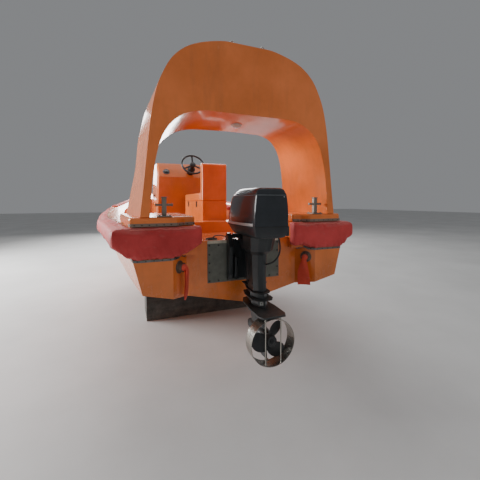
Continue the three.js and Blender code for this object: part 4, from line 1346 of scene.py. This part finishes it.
@dataclass
class ArchWork:
    """The self-righting arch with its dome lamp and lashing eyes."""

    boat: Boat
    edge: float = 0.016
    dome: float = 0.041
    eye_half: float = 0.018
    eye_bar: float = 0.004

    def lamp(self) -> None:
        """Turns the dome lamp and its bezel."""
        low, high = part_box("arch_lamp")
        place = Matrix.Translation(Vector(((low.x + high.x) / 2, (low.y + high.y) / 2, high.z)))
        bow = [math.radians(a) for a in range(9, 91, 9)]
        glass = [(self.dome * math.sin(a), -0.009 - 0.021 * math.cos(a)) for a in bow]
        glass = [(0.0, -0.03), *glass, (0.0, glass[-1][1])]
        Shape().turned(glass, place).finished("lamp_dome", Body.BOAT, LAMP_LENS, "arch_lamp", 50.0)
        bezel = [
            (0.0, 0.0), (0.05, 0.0), (0.05, -0.006), (0.047, -0.0105), (0.0415, -0.0115), (0.0405, -0.0095),
            (0.0, -0.0095),
        ]
        Shape().turned(bezel, place).finished("lamp_bezel", Body.BOAT, PALE_PLASTIC)

    def eye(self, side: str) -> None:
        """Bends one lashing eye and sets it on its plate with two nuts."""
        low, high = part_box(f"arch_eye_{side}")
        foot = Vector(((low.x + high.x) / 2, (low.y + high.y) / 2, low.z))
        half = self.eye_half
        eye = Shape().block(foot, (-0.03, -0.014, 0.0), (0.03, 0.014, 0.005)).round_edges(0.0014)
        bow = [math.pi * k / 16 for k in range(17)]
        arc = [(-half * math.cos(a), 0.006 + 0.022 * math.sin(a)) for a in bow]
        line = [foot + Vector((x, 0.0, z)) for x, z in [(-half, 0.003), *arc, (half, 0.003)]]
        eye.tube(line, self.eye_bar, 16)
        for end in (-half, half):
            eye.rod(foot + Vector((end, 0.0, 0.005)), foot + Vector((end, 0.0, 0.0085)), 0.0068, 6)
        eye.finished(f"lashing_eye_{side}", Body.BOAT, STAINLESS, f"arch_eye_{side}")

    def build(self) -> None:
        """Builds the arch's pieces."""
        self.boat.dress("arch", Body.BOAT, COAT, self.edge, segments=4, angle=30.0)
        self.lamp()
        for side, _ in SIDES:
            self.eye(side)


@dataclass
class TowingPosts:
    """The three cross-shaped towing posts."""

    boat: Boat
    plate_half: float = 0.052
    post_half: float = 0.017
    cap_half: float = 0.021
    height: float = 0.152
    bar_height: float = 0.09
    bar_half: float = 0.065
    lean: float = math.atan2(72, 600)
    quarter: Point = (682.0, 54.0, 1340.3)
    stem: Point = (0.0, 4850.0, 1589.4)
    bolt_out: float = 0.038

    def post(self, name: str, foot: Vector, lean: float) -> None:
        """Builds one post: plate, bolts, square post, wider cap and round bar.

        Args:
            name: its node.
            foot: the middle of its plate's underside.
            lean: how far it leans aft, in radians.
        """
        shape, bars, bolts = Shape(), Shape(), Shape()
        thick, cap = 0.009, self.height - 0.007
        for half, low, high in (
            (self.plate_half, 0.0, thick), (self.post_half, thick, cap),
            (self.cap_half, cap - 0.001, self.height),
        ):
            shape.box(Vector((-half, -half, low)), Vector((half, half, high)))
        shape.round_edges(0.0026, 3)
        reach = STARBOARD * self.bar_half
        middle = UP * self.bar_height
        bars.rod(middle - reach + STARBOARD * 0.004, middle + reach - STARBOARD * 0.004, 0.009, 28)
        for side in (-1.0, 1.0):
            end = middle + reach * side
            bars.rod(end, end - STARBOARD * 0.008 * side, 0.0125, 28)
        bars.round_edges(0.0015)
        for x in (-self.bolt_out, self.bolt_out):
            for y in (-self.bolt_out, self.bolt_out):
                bolt_head(bolts, Vector((x, y, thick)), UP, 0.0062, 0.0065)
        place = Matrix.Translation(foot) @ Matrix.Rotation(lean, 4, "X")
        piece = f"post_{name[5:]}"
        shape.moved(place).finished(piece, Body.BOAT, ZINC, name)
        bars.moved(place).finished(f"{piece}_bar", Body.BOAT, ZINC)
        bolts.moved(place).finished(f"{piece}_bolts", Body.BOAT, STAINLESS)

    def build(self) -> None:
        """Builds the three posts."""
        x, aft, foot = self.quarter
        for side, sign in SIDES:
            self.post(f"bitt_{side}", self.boat.at(x * sign, aft, foot), 0.0)
        self.post("bitt_bow", self.boat.at(*self.stem), self.lean)


@dataclass
class SeatWork:
    """The straddle seat: locker, hinged lid, backrest, latches and hinges."""

    boat: Boat
    half: float = 145.0
    seam: float = 1465.0
    latch_places: tuple[float, float] = (1340.0, 1850.0)
    hinge_places: tuple[float, ...] = (1260.0, 1640.0, 2020.0)

    def latch(self, number: int, aft: float) -> None:
        """Builds one rubber draw latch on the port side: a plate, and a strap with two cross pins."""
        top = self.boat.at(-self.half - 0.3, aft, self.seam - 2)
        plate = Shape().block(top, (-0.0035, -0.014, -0.078), (0.0, 0.014, 0.0)).round_edges(0.0015)
        plate.finished(f"latch_plate_{number}", Body.BOAT, HELM_PLASTIC, f"seat_latch_{number}")
        spine = [(0.0075, -0.008), (0.0085, -0.02), (0.0085, -0.045), (0.0095, -0.058), (0.0085, -0.068)]
        path = eased([top + Vector((-out, 0.0, down)) for out, down in spine], 4)
        section = [(-0.0062, -0.002), (0.0062, -0.002), (0.0062, 0.002), (-0.0062, 0.002)]
        strap = Shape().swept(path, section, [STARBOARD] * len(path)).round_edges(0.0008)
        for down, reach in ((-0.012, 0.011), (-0.066, 0.012)):
            pin = top + Vector((-0.0078, 0.0, down))
            strap.rod(pin - BOW * reach, pin + BOW * reach, 0.0036, 16)
        strap.finished(f"latch_strap_{number}", Body.BOAT, RUBBER)

    def hinges(self) -> None:
        """Sets butt hinges on the starboard side: barrels on the locker, leaves on the lid."""
        barrels, leaves = Shape(), Shape()
        for aft in self.hinge_places:
            pin = self.boat.at(self.half, aft, self.seam + 0.3)
            barrels.rod(pin - BOW * 0.024, pin + BOW * 0.024, 0.0042, 18)
            barrels.block(pin, (-0.001, -0.024, -0.03), (0.0018, 0.024, 0.0))
            leaves.block(pin, (-0.001, -0.022, 0.0048), (0.0018, 0.022, 0.03))
        barrels.round_edges(0.0006, 1).finished("seat_hinge_barrels", Body.BOAT, STAINLESS)
        leaves.round_edges(0.0006, 1).finished("seat_hinge_leaves", Body.LID, STAINLESS)

    def build(self) -> None:
        """Builds the seat."""
        self.boat.dress("seat_base", Body.BOAT, COAT, 0.007, segments=3)
        self.boat.dress("seat_lid", Body.LID, COAT, 0.009, segments=3)
        self.boat.dress("seat_backrest", Body.BOAT, COAT, 0.012, segments=4)
        for k, aft in enumerate(self.latch_places):
            self.latch(k + 1, aft)
        self.hinges()


@dataclass
class ConsoleWork:
    """The steering console with its door, compass, throttle, column and wheel."""

    boat: Boat
    edge: float = 0.012
    latch_aft: float = 2690.0
    latch_height: float = 1560.0
    dash_tilt: float = math.atan2(160.0, 226.0)
    wheel_place: Point = (0.0, 2255.0, 2034.0)
    wheel_tilt: float = 62.0
    wheel_radius: float = 0.167
    rim_bar: float = 0.0145
    spoke_turns: tuple[float, float, float] = (90.0, 210.0, 330.0)

    def housing(self) -> None:
        """Dresses the console and its side door, and sets the door's turning latch."""
        self.boat.dress("console", Body.BOAT, COAT, self.edge, segments=3, angle=30.0)
        self.boat.dress("console_door", Body.DOOR, COAT, 0.003)
        start = self.boat.at(-1500.0, self.latch_aft, self.latch_height)
        face = surface_of([self.boat.nodes["console_door"]]).ray_cast(start, STARBOARD)[0]
        latch = Shape().block(face, (-0.003, -0.016, -0.035), (0.002, 0.016, 0.035))
        latch.rod(face, face - STARBOARD * 0.02, 0.009)
        latch.block(face, (-0.024, -0.009, -0.045), (-0.015, 0.009, 0.014))
        latch.round_edges(0.002).finished("door_latch", Body.DOOR, HELM_PLASTIC)

    def compass(self) -> None:
        """Turns the compass: black base, dull bezel and dark bowl."""
        low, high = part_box("compass")
        axis = Vector((0.0, -math.cos(self.dash_tilt), math.sin(self.dash_tilt)))
        place = upright((low + high) / 2 - axis * 0.0085, axis)
        base = [(0.0, 0.0), (0.054, 0.0), (0.054, 0.005), (0.051, 0.008), (0.0, 0.008)]
        Shape().turned(base, place, 64).finished("compass_base", Body.BOAT, HELM_PLASTIC, "compass")
        bezel = [
            (0.041, 0.006), (0.0535, 0.006), (0.0535, 0.0095), (0.0505, 0.0125), (0.044, 0.0135),
            (0.041, 0.011), (0.041, 0.006),
        ]
        Shape().turned(bezel, place, 64).finished("compass_bezel", Body.BOAT, DULL_RING)
        bow = [math.radians(a) for a in range(0, 90, 10)]
        arc = [(0.0415 * math.cos(a), 0.0085 + 0.0085 * math.sin(a)) for a in bow]
        bowl = [(0.0, 0.0075), *arc, (0.0, 0.017)]
        Shape().turned(bowl, place, 64).finished("compass_bowl", Body.BOAT, ENGINE_GLOSS)

    def wheel(self) -> None:
        """Builds the steering wheel: round rim, three spokes and hub."""
        place = Matrix.Translation(self.boat.at(*self.wheel_place))
        place @= Matrix.Rotation(math.radians(self.wheel_tilt), 4, "X")
        bar, middle = self.rim_bar, Matrix.Identity(4)
        turns = [math.tau * k / 20 for k in range(21)]
        rim = [(self.wheel_radius + bar * math.cos(a), bar * math.sin(a)) for a in turns]
        wheel = Shape().turned(rim, middle, 96)
        section = [
            (-0.013, -0.0035), (0.0, -0.0055), (0.013, -0.0035), (0.013, 0.0035), (0.0, 0.0055),
            (-0.013, 0.0035),
        ]
        for turn in self.spoke_turns:
            out = Vector((math.cos(math.radians(turn)), math.sin(math.radians(turn)), 0.0))
            path = [out * 0.02 - UP * 0.014, out * 0.07 - UP * 0.010, out * 0.12 - UP * 0.005, out * 0.16]
            wheel.swept(eased(path, 4), section, [UP] * 13)
        hub = [
            (0.0, -0.042), (0.03, -0.042), (0.034, -0.036), (0.046, -0.018), (0.047, -0.008), (0.045, 0.0),
            (0.036, 0.005), (0.0, 0.008),
        ]
        wheel.turned(hub, middle).moved(place)
        wheel.finished("helm_wheel", Body.WHEEL, HELM_PLASTIC, "steering_wheel", 45.0)

    def build(self) -> None:
        """Builds the console."""
        self.housing()
        self.compass()
        self.boat.dress("throttle_box", Body.BOAT, HELM_PLASTIC, 0.005, segments=3, smooth=40.0)
        self.boat.dress("steering_column", Body.BOAT, ENGINE_CAST, 0.002, smooth=40.0)
        self.wheel()


@dataclass
class EngineWork:
    """The outboard engine: cowl, pan, leg, brackets, propeller and guard."""

    boat: Boat
    cowl_rows: tuple[tuple[float, ...], ...] = (
        (1275.0, -408.0, 137.0, -60.0, 175.0, 190.0, 92.0),
        (1400.0, -412.0, 132.0, -65.0, 167.0, 168.0, 87.0),
        (1498.0, -409.0, 121.0, -78.0, 149.0, 100.0, 74.0),
        (1550.0, -389.0, 103.0, -140.0, 116.0, -6.0, 52.0),
    )
    pan_rows: tuple[tuple[float, ...], ...] = (
        (1192.0, -392.0, 104.0, -80.0, 114.0, 62.0, 60.0), (1218.0, -403.0, 128.0, -70.0, 151.0, 122.0, 80.0),
        (1274.7, -408.0, 137.0, -60.0, 175.0, 188.0, 92.0),
    )
    steps: int = 4
    latch_place: Point = (131.0, -383.0, 1240.0)
    plug_place: Point = (92.0, -410.5, 1486.0)
    anode_place: Point = (-19.0, -277.0, 694.0)
    clamp_bolts: tuple[float, float, float] = (838.0, 890.0, 1062.0)
    leg_bolts: Profile = ((-110.0, 1110.0), (-200.0, 1112.0), (-110.0, 826.0), (-190.0, 824.0))
    ram_x: float = 98.0
    ram_y: float = 62.0
    hose_radius: float = 0.0062
    hose_route: tuple[Point, ...] = (
        (90.0, -330.0, 1206.0), (91.0, -331.0, 1192.0), (98.0, -334.0, 1155.0), (102.0, -334.0, 1112.0),
        (99.0, -330.0, 1072.0), (89.0, -318.0, 1038.0), (75.0, -300.0, 1011.0), (60.0, -276.0, 992.0),
        (46.0, -250.0, 980.0), (35.0, -229.0, 974.0),
    )
    shaft: float = 460.0
    screw_aft: float = -375.0
    guard_aft: float = -380.0
    blade_turns: tuple[float, float, float] = (30.0, 150.0, 270.0)
    root: float = 0.036
    tip: float = 0.1494
    widest: float = 0.092
    chord: float = 0.069

    def outline(self, row: Sequence[float], inset: float = 0.0) -> list[Vector]:
        """The outline of a casing at one height.

        Args:
            row: its height, aft face and half-width, widest place and half-width, front and half-width.
            inset: how far in from the casing's side it lies.

        Returns:
            The points round it, from the middle of the aft face to starboard.
        """
        z, aft, aft_half, wide_y, wide, front, front_half = row
        half = [
            (0.0, aft + inset), (aft_half - 26 - inset, aft + inset), (aft_half - inset, aft + 24 + inset),
            (wide * 0.94 - inset, (aft + wide_y) / 2), (wide - inset, wide_y),
            (wide * 0.93 - inset, wide_y + (front - wide_y) * 0.5), (front_half - inset, front - 28 - inset),
            (front_half - 34 - inset, front - inset), (0.0, front - inset),
        ]
        ring = [self.boat.at(x, y, z) for x, y in half + [(-x, y) for x, y in half[-2:0:-1]]]
        around = [ring[-1], *ring, ring[0], ring[1]]
        return eased(around, self.steps)[self.steps:self.steps * (len(ring) + 1)]

    def casing(self, rows: Sequence[Sequence[float]], top_edge: float, foot_edge: float) -> Shape:
        """Lofts a casing through its rows and rounds its rims.

        Args:
            rows: its outlines from the lowest to the highest.
            top_edge: the radius of its upper rim in millimetres.
            foot_edge: the radius of its lower rim in millimetres.

        Returns:
            The casing.
        """
        levels = eased([Vector(row) for row in rows], 6)

        def ring(z: float, inset: float = 0.0) -> list[Vector]:
            """The casing's outline at a height."""
            for below, above in zip(levels, levels[1:]):
                if z <= above[0]:
                    return self.outline(below.lerp(above, (z - below[0]) / (above[0] - below[0])), inset)
            return self.outline(levels[-1], inset)

        low, foot, head = levels[0][0], levels[0][0] + foot_edge, levels[-1][0] - top_edge
        turns = [math.pi / 2 * k / 6 for k in range(7)]
        rings = [ring(low + foot_edge * (1 - math.cos(a)), foot_edge * (1 - math.sin(a))) for a in turns[:-1]]
        rings += [ring(foot + (head - foot) * k / 14) for k in range(15)]
        rings += [ring(head + top_edge * math.sin(a), top_edge * (1 - math.cos(a))) for a in turns[1:]]
        return Shape().lofted(rings)

    def bead(self, row: Sequence[float], reach: float, high: float) -> Shape:
        """Runs a small ridge round a casing."""
        path = self.outline(row)
        path = [*path, path[0]]
        half = high / 2
        section = [(-0.003, -half), (reach * 0.7, -half), (reach, 0.0), (reach * 0.7, half), (-0.003, half)]
        return Shape().swept(path, section, [UP] * len(path))

    def trim(self) -> Shape:
        """The silver band round the cowl's foot, in two halves that get lower to the front."""
        trim = Shape()
        line = self.outline(self.cowl_rows[0])[2 * self.steps:7 * self.steps]
        for flip in (1.0, -1.0):
            rings = []
            for i, (point, way) in enumerate(zip(line, ways(line))):
                out = way.cross(UP).normalized()
                high = 0.021 - 0.007 * i / (len(line) - 1)
                corners = (
                    (-0.002, 0.005), (0.0028, 0.0058), (0.0034, 0.005 + high / 2), (0.0026, 0.004 + high),
                    (-0.002, 0.005 + high),
                )
                ring = [point + out * a + UP * b for a, b in corners]
                rings.append([Vector((flip * v.x, v.y, v.z)) for v in ring])
            trim.lofted(rings)
        return trim

    def casings(self) -> None:
        """Moulds the cowl and its pan, with the lip, the seal, the trim, the latch and the plug."""
        cowl, pan = self.casing(self.cowl_rows, 18.0, 3.0), self.casing(self.pan_rows, 2.0, 12.0)
        cowl.finished("cowl_shell", Body.ENGINE, ENGINE_GLOSS, "engine_cowl", 50.0)
        pan.finished("pan_shell", Body.ENGINE, ENGINE_SATIN, "engine_pan", 50.0)
        # The lip's grey is a painted highlight.
        self.bead(self.cowl_rows[2], 0.0026, 0.005).finished("cowl_lip", Body.ENGINE, COWL_LIP_PAINTED_HIGHLIGHT)
        self.bead(self.cowl_rows[0], 0.0028, 0.007).finished("cowl_seal", Body.ENGINE, RUBBER)
        self.trim().finished("cowl_trim", Body.ENGINE, TRIM, smooth=50.0)
        corner = self.boat.at(*self.latch_place) + Vector((0.72, -0.69, 0.0)).normalized() * 0.004
        latch = Shape().block(Vector(), (-0.013, -0.011, -0.036), (0.013, 0.011, 0.034)).round_edges(0.006, 3)
        latch.moved(upright(corner, UP) @ Matrix.Rotation(math.radians(46.0), 4, "Z"))
        latch.finished("cowl_latch", Body.ENGINE, ENGINE_CAST)
        plug = Shape()
        screw_head(plug, self.boat.at(*self.plug_place), -BOW, 0.0042)
        plug.finished("cowl_plug", Body.ENGINE, TRIM)
        self.boat.dress("powerhead", Body.ENGINE, ENGINE_CAST, 0.006)

    def castings(self) -> None:
        """Dresses the leg, the lower unit and the brackets."""
        for node, body, width in (
            ("engine_leg", Body.ENGINE, 0.007), ("lower_unit", Body.ENGINE, 0.0035),
            ("clamp_bracket", Body.BOAT, 0.005), ("swivel_bracket", Body.SWIVEL, 0.004),
        ):
            self.boat.dress(node, body, ENGINE_CAST, width, segments=3, smooth=40.0)

    def bolts(self) -> None:
        """Sets the bolts of the clamp and of the leg."""
        clamp, joint = Shape(), Shape()
        for x in (-151.0, 151.0):
            for z in self.clamp_bolts:
                bolt_head(clamp, self.boat.at(x, 83.8, z), -BOW, 0.0085, 0.009)
        clamp.finished("clamp_bolts", Body.BOAT, STAINLESS)
        leg = surface_of([self.boat.nodes["engine_leg"]])
        for sign in (-1.0, 1.0):
            for y, z in self.leg_bolts:
                hit, out, _, _ = leg.ray_cast(self.boat.at(300.0 * sign, y, z), -STARBOARD * sign)
                if hit is not None:
                    bolt_head(joint, hit, out.normalized(), 0.006, 0.006)
        joint.finished("leg_bolts", Body.ENGINE, ENGINE_CAST)

    def plates(self) -> None:
        """Lays the two spray plates round the leg."""
        spray = Shape()
        for z, plan in (
            (764.0, ((0, -286), (44, -281), (72, -236), (68, -92), (46, -10), (0, 5))),
            (716.0, ((0, -308), (54, -302), (88, -252), (82, -94), (54, 2), (0, 20))),
        ):
            half = [*plan, *((-x, y) for x, y in plan[-2:0:-1])]
            spray.lofted([[self.boat.at(x, y, height) for x, y in half] for height in (z, z + 6.5)])
        spray.round_edges(0.0022, 2, 50.0).finished("spray_plates", Body.ENGINE, ENGINE_CAST)

    def anode(self) -> None:
        """Screws the zinc anode to the lower unit's port side."""
        face = Vector((-40.0, -37.0, 0.0)).normalized()
        across = Vector((37.0, -40.0, 0.0)).normalized()
        unit = surface_of([self.boat.nodes["lower_unit"]])
        hit = unit.ray_cast(self.boat.at(*self.anode_place) + face * 0.2, -face)[0]
        corners = [(-0.014, -0.015), (0.014, -0.015), (0.014, 0.015), (-0.014, 0.015)]
        rings = [[hit + across * a + UP * b + face * lift for a, b in corners] for lift in (-0.002, 0.006)]
        Shape().lofted(rings).round_edges(0.0018).finished("anode", Body.ENGINE, ANODE)
        screw = Shape()
        screw_head(screw, hit + face * 0.006, face, 0.004)
        screw.finished("anode_screw", Body.ENGINE, DARK_SCREW)

    def rams(self) -> None:
        """Stands the two trim rams and their pistons between the clamp's cheeks."""
        rams, pistons = Shape(), Shape()
        for x in (-self.ram_x, self.ram_x):
            foot, head = self.boat.at(x, self.ram_y, 822.0), self.boat.at(x, self.ram_y, 985.0)
            rams.rod(foot, head, 0.017, 28)
            rams.rod(head - UP * 0.012, head + UP * 0.004, 0.02, 28)
            rams.box(self.boat.at(x - 20.0, 44.0, 806.0), self.boat.at(x + 20.0, 84.5, 826.0))
            rams.box(self.boat.at(x - 12.0, 60.0, 950.0), self.boat.at(x + 12.0, 84.5, 972.0))
            pistons.rod(head, self.boat.at(x, self.ram_y, 1012.0), 0.008, 20)
        rams.round_edges(0.003, 2, 50.0).finished("trim_rams", Body.BOAT, ENGINE_CAST, smooth=40.0)
        pistons.round_edges(0.002, 2, 50.0).finished("trim_ram_pistons", Body.BOAT, ENGINE_CAST)

    def hose(self) -> None:
        """Loops the black hose from the pan's underside to the leg on its starboard side."""
        line = eased([self.boat.at(*point) for point in self.hose_route], 3)
        cord("water_hose", line, self.hose_radius, Body.ENGINE, RUBBER)

    def blade(self, turn: float) -> list[list[Vector]]:
        """The rings of one blade of the propeller, from its root to its tip.

        Args:
            turn: where it stands on the hub, in degrees.

        Returns:
            The rings, each with 20 points.
        """
        rings = []
        for k in range(19):
            reach = self.root + (self.tip - self.root) * math.sin(math.pi / 2 * k / 18)
            if reach < self.widest:
                chord = 0.029 + (self.chord - 0.029) * math.sin(math.pi / 2 * (reach - 0.03) / 0.062)
            else:
                chord = self.chord * math.sqrt(max(0.006, 1.0 - ((reach - self.widest) / 0.0578) ** 2))
            share = (reach - self.root) / 0.114
            pitch = math.radians(31.0 - 13.0 * share)
            thick = 0.0042 - 0.0028 * share
            ring = []
            for angle in (math.tau * m / 20 for m in range(20)):
                along = chord * math.cos(angle) - 0.006 * math.sin(math.pi * share)
                off = thick * math.sin(angle) + 0.005 * (1.0 - (along / max(chord, 0.001)) ** 2) * share
                bearing = math.radians(turn) + (along * math.cos(pitch) - off * math.sin(pitch)) / reach
                lift = along * math.sin(pitch) + off * math.cos(pitch)
                ring.append(Vector((reach * math.sin(bearing), -reach * math.cos(bearing), lift)))
            rings.append(ring)
        return rings

    def on_shaft(self, aft: float) -> Matrix:
        """A place on the propeller's shaft, with Z to the bow."""
        place = Matrix.Translation(self.boat.at(0.0, aft, self.shaft))
        return place @ Matrix.Rotation(math.radians(-90.0), 4, "X")

    def propeller(self) -> None:
        """Models the propeller: three twisted blades on a bored hub, with a nut."""
        place = self.on_shaft(self.screw_aft)
        hub = [
            (0.0094, -0.034), (0.033, -0.034), (0.0385, -0.030), (0.042, -0.012), (0.0435, 0.0),
            (0.042, 0.016), (0.038, 0.034), (0.0094, 0.034), (0.0094, -0.034),
        ]
        cast = Shape().turned(hub, Matrix.Identity(4))
        for turn in self.blade_turns:
            cast.lofted(self.blade(turn))
        cast.moved(place).finished("propeller_cast", Body.SCREW, PROP_PAINT, "propeller", 50.0)
        nut = [
            (0.0, -0.052), (0.006, -0.0515), (0.0105, -0.048), (0.012, -0.0425), (0.0195, -0.0425),
            (0.0205, -0.0342), (0.0, -0.0342),
        ]
        Shape().turned(nut, place, 30).finished("propeller_nut", Body.SCREW, PROP_PAINT, smooth=40.0)

    def guard(self) -> None:
        """Spins the guard ring with rolled edges, and sets its bridge, its heel and its two rods."""
        roll = [math.radians(a) for a in range(-45, 226, 45)]
        bead = [(0.1680 + 0.0020 * math.cos(a), 0.0478 + 0.0020 * math.sin(a)) for a in roll]
        profile = [*bead, *((r, -z) for r, z in reversed(bead)), bead[0]]
        ring = Shape().turned(profile, self.on_shaft(self.guard_aft), 96)
        for x in (-20.0, 20.0):
            plan = ((x - 3, -400.0), (x + 3, -400.0), (x + 3, -345.0), (x - 3, -345.0))
            ring.lofted([[self.boat.at(*spot, z) for spot in plan] for z in (624.0, 644.4)])
        ring.box(self.boat.at(-24.0, -400.0, 641.6), self.boat.at(24.0, -345.0, 644.7))
        ring.box(self.boat.at(-9.0, -345.0, 290.0), self.boat.at(9.0, -316.4, 296.0))
        ring.finished("guard_ring", Body.ENGINE, GUARD_METAL, "propeller_guard", 42.0)
        rods = Shape()
        for x in (-60.0, 60.0):
            foot, neck, head = (self.boat.at(x, -424.0, z) for z in (303.0, 640.0, 644.7))
            rods.rod(foot, head, 0.005, 20).rod(neck, head, 0.0095, 6)
        rods.finished("guard_rods", Body.ENGINE, STAINLESS, smooth=40.0)

    def build(self) -> None:
        """Builds the engine."""
        self.casings()
        self.castings()
        self.bolts()
        self.plates()
        self.anode()
        self.rams()
        self.hose()
        self.propeller()
        self.guard()


def main() -> None:
    """Builds the boat, one sub-assembly after another."""
    logging.basicConfig(level=logging.INFO, format="%(name)s %(message)s")
    boat = Boat()
    Studio().build()
    assemblies = [
        Cable(boat), HullWork(boat), Fenders(boat), ArchWork(boat), TowingPosts(boat), SeatWork(boat),
        ConsoleWork(boat), EngineWork(boat),
    ]
    for assembly in assemblies:
        LOG.info("building %s", type(assembly).__name__)
        assembly.build()


if __name__ == "__main__":
    main()
